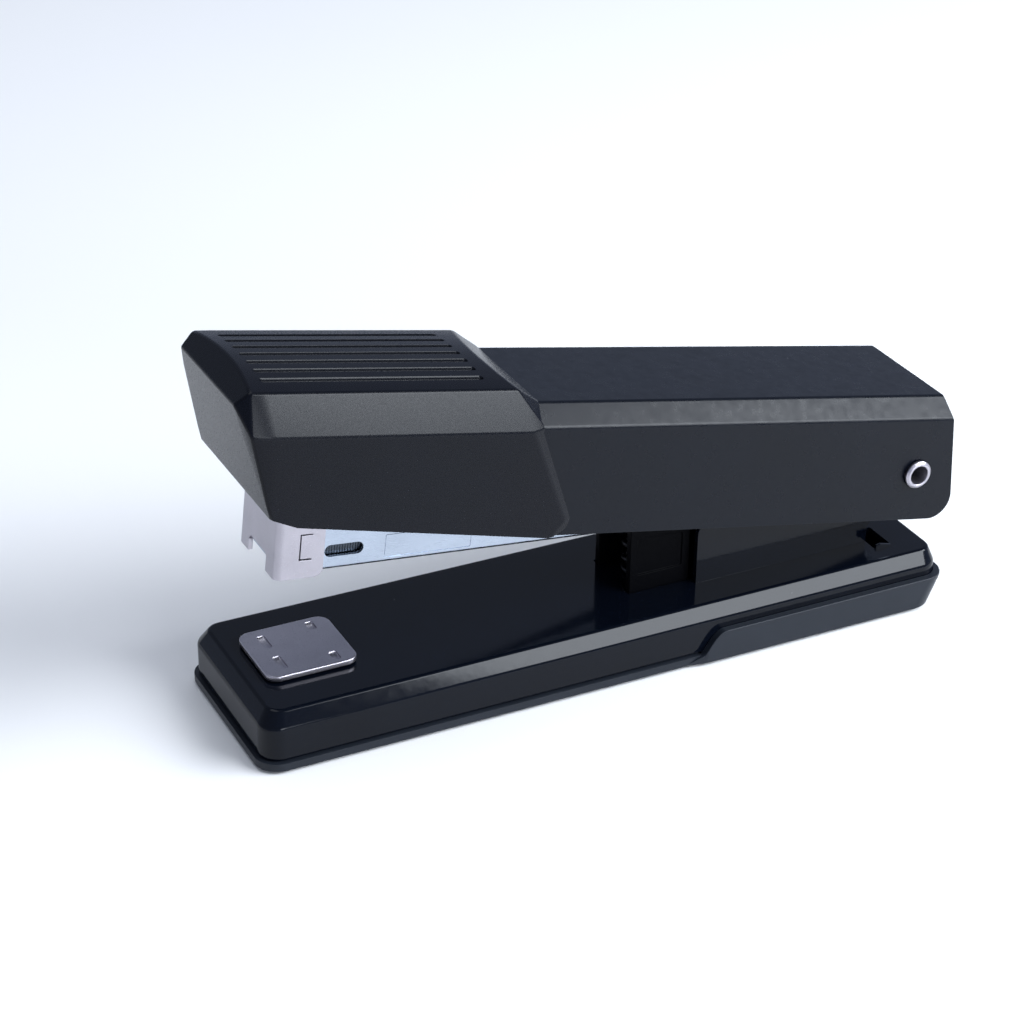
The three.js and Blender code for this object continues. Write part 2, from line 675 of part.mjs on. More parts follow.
function coverSolid() {
  const { tail, slant, top, bottom, corner, tuck } = cover;
  const chinReach = coverReach - cap.chin;
  const heelReach = heel + 1;
  const profile = new THREE.Shape();
  profile.moveTo(tail, top);
  profile.lineTo(tail + slant, bottom + corner);
  profile.quadraticCurveTo(tail + slant + 0.9, bottom, tail + slant - corner, bottom);
  profile.lineTo(-heelReach, bottom);
  profile.lineTo(-heelReach - 2 * tuck, capEdge(heelReach + 2 * tuck) + tuck);
  profile.lineTo(-chinReach, capEdge(chinReach) + tuck);
  profile.lineTo(-coverReach, top);
  const inner = bevelledSection(cover, cover.sheet, bottom - BITE);
  const screwHoles = screwReaches
    .map((at) => rodAlongZ(capScrew.radius + GAP, -at, 0, ceiling - BITE, top + BITE))
    .reduce((all, one) => all.add(one));
  return alongX(bevelledSection(cover, 0, bottom), -coverReach, tail + slant + 1)
    .intersect(alongY(profile, -cover.sideHalf, cover.sideHalf))
    .subtract(alongX(inner, -coverReach - BITE, tail + slant + BITE))
    .subtract(rodAlongY(hingeHole, 0, 0, -cover.sideHalf - BITE, cover.sideHalf + BITE))
    .subtract(screwHoles);
}

function capSize() {
  return { sideHalf: capHalf, top: capTop, bevelRun: cap.bevelRun, bevelDrop: cap.bevelDrop };
}

function crownAt(y) {
  return capTop + cap.crown * (1 - (y / capTopHalf) ** 2);
}

function capGrooves() {
  const radius = groove.width / 2;
  const tools = [];
  for (let i = 0; i < groove.count; i += 1) {
    const y = (i - (groove.count - 1) / 2) * groove.pitch;
    const shape = roundedRectangle(
      groove.front - brow, groove.rear - brow, y - radius, y + radius, radius - 0.01,
    );
    tools.push(alongZ(shape, crownAt(y) - groove.depth, capTop + BITE));
  }
  return tools.reduce((all, one) => all.add(one));
}

// the facet between the brow, the bevel and the side at each front corner
function capCorner(side, inset) {
  return beyondPlane([
    [inset - brow, side * (capTopHalf - cap.cornerIn), capTop - cap.browDrop],
    [inset + cap.browRun - brow, side * capTopHalf, capTop],
    [inset + cap.cornerRun - brow, side * capHalf, capBevelLow],
  ], [-jaw, 0, 0]);
}

function capSolid() {
  const ridge = capTop + cap.crown;
  const browSlope = cap.browRun / cap.browDrop;
  const browTop = brow - browSlope * (ridge - capTop + cap.browDrop);
  const rearSlope = (cap.rearRoof - cap.rearTop) / cap.roof;
  const rearFoot = brow - cap.rearFoot;
  const profile = sideOutline([
    [brow, capTop - cap.browDrop], [browTop, ridge],
    [brow - cap.rearTop + rearSlope * cap.crown, ridge], [brow - cap.rearRoof, capCeiling],
    [brow - cap.rearSide, coverBevelLow], [rearFoot, cap.footLevel],
    [rearFoot, capBottom + cap.frontWall], [heel, capBottom], [jaw, cap.jawLevel], [chin, cap.chinLevel],
  ]);
  const room = sideOutline([
    [rearFoot - BITE, capBottom - BITE], [rearFoot - BITE, capCeiling],
    [brow - 2 * cap.frontWall, capCeiling], [brow - cap.frontWall, capTop - 2 * cap.browDrop],
    [chin - cap.frontWall, cap.chinLevel], [chin - cap.frontWall, capBottom - BITE],
  ]);
  const hollow = alongX(bevelledSection(cover, -GAP, capBottom - BITE), -brow, BITE - rearFoot)
    .intersect(alongY(room, -capHalf, capHalf))
    .subtract(both((side) => capCorner(side, cap.frontWall)));
  const holeTop = capCeiling + capScrew.depth + GAP;
  const blindHoles = screwReaches
    .map((at) => rodAlongZ(capScrew.radius + GAP, -at, 0, capCeiling - GAP, holeTop))
    .reduce((all, one) => all.add(one));
  return alongX(bevelledSection(capSize(), 0, capBottom, cap.crown), -brow, -rearFoot)
    .intersect(alongY(profile, -capHalf, capHalf))
    .subtract(both((side) => capCorner(side, 0)))
    .subtract(hollow)
    .subtract(blindHoles)
    .subtract(capGrooves());
}

function driverBeam() {
  const holes = [...rivetReaches.map((at) => [at, driverRivet.radius]),
    ...screwReaches.map((at) => [at, capScrew.radius])]
    .map(([at, radius]) => rodAlongZ(radius + GAP, -at, 0, beamUnder - BITE, beamTop + BITE))
    .reduce((all, one) => all.add(one));
  return block(-channelFront, -beam.rear, -beam.half, beam.half, beamUnder, beamTop).subtract(holes);
}

function driverBlade() {
  const { reach, flange } = driver;
  const half = driverHalf;
  const holes = rivetReaches
    .map((at) => rodAlongZ(driverRivet.radius + GAP, -at, 0, flangeUnder - BITE, flangeTop + BITE))
    .reduce((all, one) => all.add(one));
  return block(-reach, -bladeBack, -half, half, channelBottom - driver.tipBelow, flangeTop)
    .add(block(-reach, -reach + flange, -half, half, flangeUnder, flangeTop))
    .subtract(holes);
}

function headedPin(size, shoulder, tip, x) {
  return turnedAboutZ([
    [0, shoulder - size.headHeight], [size.head, shoulder - size.headHeight], [size.head, shoulder],
    [size.radius, shoulder], [size.radius, tip], [0, tip],
  ], x, 0);
}

function driverRivetSolid(reach) {
  return headedPin(driverRivet, flangeUnder - GAP, beamTop, -reach);
}

function capScrewSolid(reach) {
  return headedPin(capScrew, beamUnder - GAP, capCeiling + capScrew.depth, -reach);
}

function hingeRivet() {
  const { shank, bore, flare, mouth, lip } = hinge;
  const face = cover.sideHalf + GAP;
  const end = [
    [shank, face], [flare, face], [flare, face + lip / 2], [(flare + mouth) / 2, face + lip],
    [mouth, face + lip * 0.8], [bore, face - lip],
  ];
  const other = end.map(([radius, distance]) => [radius, -distance]).reverse();
  return turnedAboutY([...end, ...other, end[0]]);
}

function hingeBush(side) {
  const inner = earOuter + GAP;
  const outer = cover.sideHalf - cover.sheet - GAP;
  const [from, to] = side < 0 ? [-outer, -inner] : [inner, outer];
  return turnedAboutY([
    [hingeHole, from], [hingeHole + hinge.bushWall, from], [hingeHole + hinge.bushWall, to],
    [hingeHole, to], [hingeHole, from],
  ]);
}

class TorsionPath extends THREE.Curve {
  getPoint(t) {
    const { radius, turns, pitch, arm, armAngle } = torsion;
    const start = (90 - armAngle) * RAD;
    const sweep = 2 * start + 2 * Math.PI * turns;
    const width = pitch * turns;
    const coilLength = radius * sweep;
    const along = t * (coilLength + 2 * arm) - arm;
    const turned = Math.min(Math.max(along, 0), coilLength);
    const angle = start - turned / radius;
    const beyond = along - turned;
    const x = radius * Math.cos(angle) + beyond * Math.sin(angle);
    const z = radius * Math.sin(angle) - beyond * Math.cos(angle);
    return new THREE.Vector3(x, width * (turned / coilLength - 0.5), z);
  }
}

function torsionSpring() {
  return wireAlong(new TorsionPath(), torsion.wire, (torsion.turns + 1) * COIL_STEPS);
}

// ---------------------------------------------------------------- finishes and assembly

function finish(color, roughness, metalness) {
  return new THREE.MeshStandardMaterial({ color, roughness, metalness });
}

const finishes = {
  blackPaint: () => finish(0x15181d, 0.25, 0),
  capPlastic: () => finish(0x1b1d22, 0.5, 0),
  shellPlastic: () => finish(0x30363e, 0.55, 0),
  bracketBlack: () => finish(0x0a0a0c, 0.6, 0),
  nickel: () => finish(0xb4adb2, 0.3, 1),
  zinc: () => finish(0xc9d2dd, 0.25, 1),
  springSteel: () => finish(0x8d9096, 0.3, 1),
  stapleWire: () => finish(0xc4c7cc, 0.25, 1),
  rubber: () => finish(0x101011, 0.9, 0),
  nylon: () => finish(0xd9d6cc, 0.6, 0),
};

function add(group, name, shape, material) {
  const geometry = shape.isBufferGeometry ? shape : geometryOf(shape);
  const mesh = new THREE.Mesh(geometry, material());
  mesh.name = name;
  group.add(mesh);
}

function tilted(degrees) {
  const group = new THREE.Group();
  group.position.z = hinge.height;
  group.rotation.y = degrees * RAD;
  return group;
}

function baseGroup() {
  const group = new THREE.Group();
  const spots = footSpots();
  add(group, "base_plate", basePlate(), finishes.blackPaint);
  add(group, "base_shell", baseShell(), finishes.shellPlastic);
  add(group, "foot_front", rubberFoot(spots.front), finishes.rubber);
  add(group, "foot_rear", rubberFoot(spots.rear), finishes.rubber);
  add(group, "lift_spring", liftSpring(), finishes.springSteel);
  add(group, "anvil_plate", anvilPlate(), finishes.nickel);
  add(group, "anvil_button", anvilButton(), finishes.zinc);
  add(group, "anvil_spring", anvilSpring(), finishes.springSteel);
  add(group, "stop_bracket", stopBracket(), finishes.bracketBlack);
  return group;
}

function magazineGroup() {
  const group = tilted(rest.magazine);
  add(group, "magazine_channel", magazineChannel(), finishes.zinc);
  add(group, "nose_piece", nosePiece(), finishes.nickel);
  add(group, "staple_rail", stapleRail(), finishes.zinc);
  add(group, "staple_strip", stapleStrip(), finishes.stapleWire);
  add(group, "bracket_rivet", bracketRivetSolid(), finishes.zinc);
  add(group, "spring_anchor", springAnchor(), finishes.zinc);
  add(group, "pusher_spring", pusherSpring(), finishes.springSteel);
  add(group, "pusher", pusherSolid(), finishes.zinc);
  return group;
}

function handleGroup() {
  const group = tilted(rest.handle);
  add(group, "cover", coverSolid(), finishes.blackPaint);
  add(group, "cap", capSolid(), finishes.capPlastic);
  add(group, "driver_beam", driverBeam(), finishes.zinc);
  add(group, "driver_blade", driverBlade(), finishes.springSteel);
  rivetReaches.forEach((at, i) => {
    add(group, `driver_rivet_${i + 1}`, driverRivetSolid(at), finishes.zinc);
  });
  screwReaches.forEach((at, i) => {
    add(group, `cap_screw_${i + 1}`, capScrewSolid(at), finishes.zinc);
  });
  add(group, "hinge_rivet", hingeRivet(), finishes.nickel);
  add(group, "hinge_bush_near", hingeBush(-1), finishes.nylon);
  add(group, "hinge_bush_far", hingeBush(1), finishes.nylon);
  add(group, "torsion_spring", torsionSpring(), finishes.springSteel);
  return group;
}

const stapler = new THREE.Group();
stapler.add(baseGroup(), magazineGroup(), handleGroup());

// the origin lies under the middle of the whole object
const extent = new THREE.Box3().setFromObject(stapler, true);
stapler.position.x = -(extent.min.x + extent.max.x) / 2;

export default stapler;
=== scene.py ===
"""Desk stapler: the visible pieces, their finishes and a plain studio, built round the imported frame."""

import json
import math

import bmesh
import bpy
from bpy.props import (
    FloatProperty,
    FloatVectorProperty,
    IntProperty,
    PointerProperty,
)
from mathutils import Matrix, Vector


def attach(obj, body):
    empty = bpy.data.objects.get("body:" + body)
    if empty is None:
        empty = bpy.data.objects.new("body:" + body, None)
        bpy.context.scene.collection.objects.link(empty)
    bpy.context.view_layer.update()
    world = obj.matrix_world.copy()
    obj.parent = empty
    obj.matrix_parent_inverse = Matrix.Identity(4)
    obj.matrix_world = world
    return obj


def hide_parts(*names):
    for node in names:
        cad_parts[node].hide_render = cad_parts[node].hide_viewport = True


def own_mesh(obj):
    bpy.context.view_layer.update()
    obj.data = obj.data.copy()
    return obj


bl_info = {
    "name": "Desk Stapler",
    "version": (1, 0, 0),
    "blender": (4, 5, 0),
    "location": "3D View > Sidebar > Stapler",
    "description": "Builds the pieces, finishes and studio of a full-strip desk stapler",
    "category": "Object",
}

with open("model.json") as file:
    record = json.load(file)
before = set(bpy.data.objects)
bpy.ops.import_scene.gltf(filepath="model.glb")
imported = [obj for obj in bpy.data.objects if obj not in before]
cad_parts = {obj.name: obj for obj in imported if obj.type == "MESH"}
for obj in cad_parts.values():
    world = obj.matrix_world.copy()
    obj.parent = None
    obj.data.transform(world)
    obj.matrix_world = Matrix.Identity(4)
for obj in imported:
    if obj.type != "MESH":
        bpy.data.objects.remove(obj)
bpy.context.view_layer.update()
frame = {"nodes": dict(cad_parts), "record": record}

MM = 0.001
ARC_STEP = math.radians(11)
FLAT_ANGLE = math.radians(0.6)
SHARP_ANGLE = math.radians(38)
ROUND_SIDES = 48
PAST = 3.0  # millimetres that a cutting shape runs past the face it cuts
AXIS_RADIUS = 0.001  # millimetres, where a turned shape reaches its axis

RECORD = frame["record"]
JOINTS = {joint["name"]: joint for joint in RECORD["behaviour"]["joints"]}
BODY_OF = {
    node: body for body, nodes in RECORD["behaviour"]["bodies"].items() for node in nodes
}
HINGE = Vector(JOINTS["handle_pivot"]["pos_m"])


# ---------------------------------------------------------------- places


def magazine_tilt():
    """Angle of the magazine at rest, from the line its pusher slides along."""
    along = JOINTS["pusher_slide"]["axis"]
    return math.atan2(-along[2], along[0])


def tilted_space(tilt):
    """Axes of a piece that turns on the hinge: the nose towards -X, before its tilt."""
    return Matrix.Translation(HINGE) @ Matrix.Rotation(tilt, 4, "Y")


def base_space():
    """Axes of the base: X from the hinge, Z from the table."""
    return Matrix.Translation((HINGE.x, 0, 0))


def handle_space():
    return tilted_space(bpy.context.scene.stapler_sizes.handle_tilt)


def magazine_space():
    return tilted_space(magazine_tilt())


def box_in(space, node):
    """Lowest and highest corner of a frame node along a space's axes, in millimetres."""
    inverse = space.inverted()
    points = [inverse @ vertex.co / MM for vertex in frame["nodes"][node].data.vertices]
    low = Vector([min(point[i] for point in points) for i in range(3)])
    high = Vector([max(point[i] for point in points) for i in range(3)])
    return low, high


# ---------------------------------------------------------------- outlines and solids, in millimetres


def rounded(corners):
    """Closed outline of (x, y) or (x, y, radius) corners, with arcs where a radius is given."""
    points = []
    for i, corner in enumerate(corners):
        at = Vector(corner[:2])
        radius = corner[2] if len(corner) > 2 else 0
        if radius <= 0:
            points.append(at)
            continue
        before = (Vector(corners[i - 1][:2]) - at).normalized()
        after = (Vector(corners[(i + 1) % len(corners)][:2]) - at).normalized()
        half = before.angle(after) / 2
        centre = at + (before + after).normalized() * (radius / math.sin(half))
        start = at + before * (radius / math.tan(half)) - centre
        end = at + after * (radius / math.tan(half)) - centre
        turn = math.atan2(start.cross(end), start.dot(end))
        steps = max(2, math.ceil(abs(turn) / ARC_STEP))
        for k in range(steps + 1):
            points.append(centre + Matrix.Rotation(turn * k / steps, 2) @ start)
    return points


def on_axis(axis, place, a, b):
    """A point at a place along an axis, and at a and b along the other two."""
    return {"X": (place, a, b), "Y": (a, place, b), "Z": (a, b, place)}[axis]


def circle(x, y, radius, count=ROUND_SIDES):
    """Outline of a round hole or rod."""
    angles = [2 * math.pi * i / count for i in range(count)]
    return [(x + radius * math.cos(a), y + radius * math.sin(a)) for a in angles]


def oblong(x0, x1, y0, y1, radius):
    """Corners of a rectangle with rounded corners."""
    return [(x0, y0, radius), (x1, y0, radius), (x1, y1, radius), (x0, y1, radius)]


def mirrored(corners):
    """The corners of one half of an outline, followed by their mirror image in Y."""
    return corners + [(-corner[0], *corner[1:]) for corner in reversed(corners)]


def span(side, near, far):
    """Start and end across Y of what lies from near to far, on one side of the middle."""
    return sorted((side * near, side * far))


def ring_at(corners, level):
    """A rounded outline laid level at a height."""
    return [(point[0], point[1], level) for point in rounded(corners)]


def closed_solid(rings, looped=False):
    """Solid whose skin joins rings of points in order; looped joins the last ring to the first."""
    bm = bmesh.new()
    made = [[bm.verts.new(point) for point in ring] for ring in rings]
    pairs = list(zip(made, made[1:]))
    if looped:
        pairs.append((made[-1], made[0]))
    for lower, upper in pairs:
        for i in range(len(lower)):
            j = (i + 1) % len(lower)
            bm.faces.new((lower[i], lower[j], upper[j], upper[i]))
    if not looped:
        bm.faces.new(made[0])
        bm.faces.new(made[-1])
    bmesh.ops.recalc_face_normals(bm, faces=bm.faces)
    return object_from(bm)


def object_from(bm):
    """A new object with a built mesh, which is used up."""
    mesh = bpy.data.meshes.new("piece")
    bm.to_mesh(mesh)
    bm.free()
    made = bpy.data.objects.new("piece", mesh)
    bpy.context.scene.collection.objects.link(made)
    return made


def prism(corners, axis, start, end):
    """Solid swept from an outline: (y, z) along X, (x, z) along Y or (x, y) along Z."""
    outline = rounded(corners)
    return closed_solid([[on_axis(axis, at, *point) for point in outline] for at in (start, end)])


def block(x0, x1, y0, y1, z0, z1):
    """Plain box between two corners."""
    return prism([(x0, y0), (x1, y0), (x1, y1), (x0, y1)], "Z", z0, z1)


def turned(profile, axis, centre, ring=False):
    """Solid turned from (radius, along) corners about an axis through centre; ring has a bore."""
    x, other = centre
    rings = []
    for radius, along in rounded(profile):
        radius = max(radius, AXIS_RADIUS)
        rings.append([on_axis(axis, along, *point) for point in circle(x, other, radius)])
    return closed_solid(rings, looped=ring)


def combined(target, tool, operation):
    """Joins or cuts target with tool, and uses the tool up."""
    modifier = target.modifiers.new("combine", "BOOLEAN")
    modifier.operation = operation
    modifier.solver = "EXACT"
    modifier.object = tool
    graph = bpy.context.evaluated_depsgraph_get()
    mesh = bpy.data.meshes.new_from_object(target.evaluated_get(graph))
    target.modifiers.clear()
    old = target.data
    target.data = mesh
    bpy.data.meshes.remove(old)
    spent = tool.data
    bpy.data.objects.remove(tool)
    bpy.data.meshes.remove(spent)
    return target


def cut(target, *tools):
    for tool in tools:
        combined(target, tool, "DIFFERENCE")
    return target


def keep(target, *tools):
    for tool in tools:
        combined(target, tool, "INTERSECT")
    return target


def fused(target, *tools):
    for tool in tools:
        combined(target, tool, "UNION")
    return target


def joined(pieces):
    """One object of several separate solids."""
    bm = bmesh.new()
    for piece in pieces:
        bm.from_mesh(piece.data)
        spent = piece.data
        bpy.data.objects.remove(piece)
        bpy.data.meshes.remove(spent)
    return object_from(bm)


def softened(target, width, segments=3, pick=None, sharper_than=25):
    """Rounds the sharp edges that pick accepts, all of them by default."""
    bm = bmesh.new()
    bm.from_mesh(target.data)
    bmesh.ops.dissolve_limit(
        bm, angle_limit=FLAT_ANGLE, verts=bm.verts, edges=bm.edges, use_dissolve_boundaries=False
    )
    limit = math.radians(sharper_than)
    edges = [
        edge
        for edge in bm.edges
        if len(edge.link_faces) == 2
        and edge.calc_face_angle() > limit
        and (pick is None or pick(edge))
    ]
    bmesh.ops.bevel(
        bm,
        geom=edges,
        offset=width,
        offset_type="OFFSET",
        segments=segments,
        profile=0.5,
        affect="EDGES",
        clamp_overlap=True,
    )
    bm.to_mesh(target.data)
    bm.free()
    return target


def middle(edge):
    return (edge.verts[0].co + edge.verts[1].co) / 2


def wire(points, radius, sides=12):
    """Round wire along a line of points, in millimetres."""
    rings = []
    up = Vector((0, 1, 0.02)).normalized()
    for i, point in enumerate(points):
        ahead = points[min(i + 1, len(points) - 1)] - points[max(i - 1, 0)]
        side = ahead.cross(up).normalized()
        up = side.cross(ahead).normalized()
        ring = []
        for k in range(sides):
            angle = 2 * math.pi * k / sides
            ring.append(point + (side * math.cos(angle) + up * math.sin(angle)) * radius)
        rings.append(ring)
    return closed_solid(rings)


def stand_for(piece, name, node, space, finish):
    """Places a finished piece over its frame node, with the node's body and the given finish."""
    piece.name = name
    piece.data.name = name
    piece.data.transform(Matrix.Scale(MM, 4))
    piece.data.materials.clear()
    piece.data.materials.append(finish)
    piece.data.shade_smooth()
    piece.data.set_sharp_from_angle(angle=SHARP_ANGLE)
    weighted = piece.modifiers.new("even normals", "WEIGHTED_NORMAL")
    weighted.keep_sharp = True
    piece.matrix_world = space
    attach(piece, BODY_OF[node])
    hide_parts(node)
    return piece


# ---------------------------------------------------------------- finishes


def new_finish(name):
    """A material with its shader, and object coordinates in millimetres."""
    material = bpy.data.materials.new(name)
    material.use_nodes = True
    nodes = material.node_tree.nodes
    links = material.node_tree.links
    shader = nodes["Principled BSDF"]
    coordinates = nodes.new("ShaderNodeTexCoord")
    scale = nodes.new("ShaderNodeMapping")
    scale.inputs["Scale"].default_value = (1 / MM, 1 / MM, 1 / MM)
    links.new(coordinates.outputs["Object"], scale.inputs["Vector"])
    return material, nodes, links, shader, scale.outputs["Vector"]


def noise(nodes, links, at, per_mm, detail=3.0, stretch=(1, 1, 1)):
    """Noise with so many features in a millimetre, drawn out along an axis by stretch."""
    mapping = nodes.new("ShaderNodeMapping")
    mapping.inputs["Scale"].default_value = [per_mm / s for s in stretch]
    links.new(at, mapping.inputs["Vector"])
    texture = nodes.new("ShaderNodeTexNoise")
    texture.inputs["Scale"].default_value = 1.0
    texture.inputs["Detail"].default_value = detail
    links.new(mapping.outputs["Vector"], texture.inputs["Vector"])
    return texture.outputs["Fac"]


NOISE_RANGE = (0.3, 0.7)  # where most of a noise's values lie


def roughened(nodes, links, shader, value, roughness, low, high):
    """Spreads the shader's roughness with a noise, between two shares of itself."""
    remap = nodes.new("ShaderNodeMapRange")
    remap.inputs["From Min"].default_value = NOISE_RANGE[0]
    remap.inputs["From Max"].default_value = NOISE_RANGE[1]
    remap.inputs["To Min"].default_value = roughness * low
    remap.inputs["To Max"].default_value = roughness * high
    links.new(value, remap.inputs["Value"])
    links.new(remap.outputs["Result"], shader.inputs["Roughness"])


def scaled_colour(colour, share):
    return [channel * share for channel in colour]


def mottled(nodes, links, value, colour, dark, light):
    """A colour that goes with a noise between two shares of itself."""
    mix = nodes.new("ShaderNodeMix")
    mix.data_type = "RGBA"
    mix.inputs["A"].default_value = (*scaled_colour(colour, dark), 1)
    mix.inputs["B"].default_value = (*scaled_colour(colour, light), 1)
    links.new(value, mix.inputs["Factor"])
    return mix.outputs["Result"]


def bumped(nodes, links, shader, value, height_mm):
    """Raises the shader's surface by a value, up to a height."""
    bump = nodes.new("ShaderNodeBump")
    bump.inputs["Strength"].default_value = 1.0
    bump.inputs["Distance"].default_value = height_mm * MM
    links.new(value, bump.inputs["Height"])
    links.new(bump.outputs["Normal"], shader.inputs["Normal"])


SPECKS_PER_MM = 0.5
SPECK_RADIUS = 0.05  # of the distance between specks
DUST_COLOUR = (0.16, 0.16, 0.17)


def dusted(nodes, links, shader, at, colour, share):
    """A few pale dust specks over a colour."""
    specks = nodes.new("ShaderNodeTexVoronoi")
    specks.inputs["Scale"].default_value = SPECKS_PER_MM
    links.new(at, specks.inputs["Vector"])
    near = nodes.new("ShaderNodeMath")
    near.operation = "LESS_THAN"
    near.inputs[1].default_value = SPECK_RADIUS
    links.new(specks.outputs["Distance"], near.inputs[0])
    chosen = nodes.new("ShaderNodeMath")
    chosen.operation = "LESS_THAN"
    chosen.inputs[1].default_value = share
    links.new(specks.outputs["Color"], chosen.inputs[0])
    both = nodes.new("ShaderNodeMath")
    both.operation = "MULTIPLY"
    links.new(near.outputs[0], both.inputs[0])
    links.new(chosen.outputs[0], both.inputs[1])
    mix = nodes.new("ShaderNodeMix")
    mix.data_type = "RGBA"
    mix.inputs["B"].default_value = (*DUST_COLOUR, 1)
    links.new(both.outputs[0], mix.inputs["Factor"])
    links.new(colour, mix.inputs["A"])
    links.new(mix.outputs["Result"], shader.inputs["Base Color"])


def enamel(name, colour, roughness, peel):
    """Stoved black enamel: a faint orange peel, a soft mottle and a little dust."""
    material, nodes, links, shader, at = new_finish(name)
    tone = mottled(nodes, links, noise(nodes, links, at, 0.09), colour, 0.8, 1.25)
    dusted(nodes, links, shader, at, tone, bpy.context.scene.stapler_colours.dust)
    roughened(nodes, links, shader, noise(nodes, links, at, 0.5), roughness, 0.85, 1.2)
    bumped(nodes, links, shader, noise(nodes, links, at, 0.8, detail=1.0), peel)
    shader.inputs["Specular IOR Level"].default_value = 0.18
    return material


def eroded_plastic(name, colour, roughness, grain_per_mm, height, gloss):
    """Moulded plastic with the fine pitted texture of a spark-eroded mould."""
    material, nodes, links, shader, at = new_finish(name)
    pits = noise(nodes, links, at, grain_per_mm, detail=4.0)
    tone = mottled(nodes, links, noise(nodes, links, at, 0.12), colour, 0.85, 1.2)
    dusted(nodes, links, shader, at, tone, bpy.context.scene.stapler_colours.dust)
    roughened(nodes, links, shader, pits, roughness, 0.85, 1.15)
    bumped(nodes, links, shader, pits, height)
    shader.inputs["Specular IOR Level"].default_value = gloss
    return material


def plated(name, colour, roughness, stretch, line_height):
    """Plated metal with fine rolling lines and slow changes of tone."""
    material, nodes, links, shader, at = new_finish(name)
    lines = noise(nodes, links, at, 5.0, detail=4.0, stretch=stretch)
    tone = mottled(nodes, links, noise(nodes, links, at, 0.18), colour, 0.86, 1.1)
    links.new(tone, shader.inputs["Base Color"])
    shader.inputs["Metallic"].default_value = 1.0
    roughened(nodes, links, shader, lines, roughness, 0.75, 1.3)
    bumped(nodes, links, shader, lines, line_height)
    return material


def rubber_finish(name, colour):
    """Matt rubber with a fine grain."""
    material, nodes, links, shader, at = new_finish(name)
    grain = noise(nodes, links, at, 3.0)
    tone = mottled(nodes, links, grain, colour, 0.7, 1.5)
    links.new(tone, shader.inputs["Base Color"])
    shader.inputs["Roughness"].default_value = 0.85
    bumped(nodes, links, shader, grain, 0.03)
    return material


def blackened(name, colour, roughness, stretch, line_height):
    """Plated wire under a black oxide."""
    return plated(name, scaled_colour(colour, 0.12), roughness, stretch, line_height)


ALONG = (12, 1, 1)
DRAWN = (1, 1, 6)
EVEN = (1, 1, 1)

FINISHES = {
    "cover_enamel": (enamel, "paint", 0.30, 0.004),
    "base_enamel": (enamel, "paint", 0.10, 0.003),
    "cap_moulding": (eroded_plastic, "cap", 0.27, 3.4, 0.0016, 0.17),
    "shell_moulding": (eroded_plastic, "shell", 0.36, 2.2, 0.006, 0.22),
    "bracket_moulding": (eroded_plastic, "bracket", 0.5, 1.5, 0.02, 0.04),
    "bush_nylon": (eroded_plastic, "nylon", 0.45, 1.0, 0.01, 0.17),
    "nickel_plate": (plated, "nickel", 0.34, EVEN, 0.004),
    "zinc_plate": (plated, "zinc", 0.24, ALONG, 0.003),
    "spring_wire": (plated, "spring", 0.28, DRAWN, 0.004),
    "galvanised_wire": (plated, "staple", 0.25, EVEN, 0.004),
    "blackened_wire": (blackened, "spring", 0.4, DRAWN, 0.004),
    "foot_rubber": (rubber_finish, "rubber"),
}


def finish(name):
    """The named finish, made when it is first asked for."""
    found = bpy.data.materials.get(name)
    if found:
        return found
    maker, colour, *values = FINISHES[name]
    return maker(name, getattr(bpy.context.scene.stapler_colours, colour), *values)


# ---------------------------------------------------------------- handle, in millimetres


HINGE_BORE = 2.6
COVER_BEVEL_RUN = 3.95
COVER_BEVEL_DROP = 3.5
CAP_GAP = 0.35  # between the cover and the cap round it
CAP_ROOF = 17.9
CAP_ROOF_HALF = 13.85
CAP_FRONT, CAP_REAR = -142.4, -91.0
CAP_CORNERS = [
    (-144.6, 12.85, 15.3),  # brow
    (-139.0, 13.95, 17.9),  # front of the roof's edge
    (-142.1, 16.6, 10.7),  # front facet's lower end
    (-137.6, 17.6, 11.0),  # front of the side chamfer
    (-136.4, 17.0, -4.5),  # chin
    (-131.2, 17.2, -6.1),
    (-80.3, 17.35, -10.3),  # bottom, rear
    (-78.2, 17.4, -6.6),
    (-88.2, 17.6, 11.0),  # rear of the side chamfer
    (-85.6, 12.7, 14.95),  # rear slope
    (-85.3, 16.7, 11.4),
    (-76.4, 16.7, -6.6),  # round lower rear corner
    (-76.8, 16.7, -8.4),
    (-77.9, 16.7, -9.7),
    (-79.4, 16.7, -10.3),
]


def cover_section(sizes, low, high, inset):
    """Half of the folded cover's section, from its lower edge up, a sheet's depth in."""
    bend = max(sizes.cover_bend / MM - inset, 0.3)
    slope = math.hypot(COVER_BEVEL_RUN, COVER_BEVEL_DROP)
    across = inset * (slope - COVER_BEVEL_RUN) / COVER_BEVEL_DROP
    down = inset * (slope - COVER_BEVEL_DROP) / COVER_BEVEL_RUN
    return mirrored([
        (high.y - inset, low.z - (PAST if inset > 0 else 0)),
        (high.y - inset, high.z - COVER_BEVEL_DROP - down, bend),
        (high.y - COVER_BEVEL_RUN - across, high.z - inset, bend),
    ])


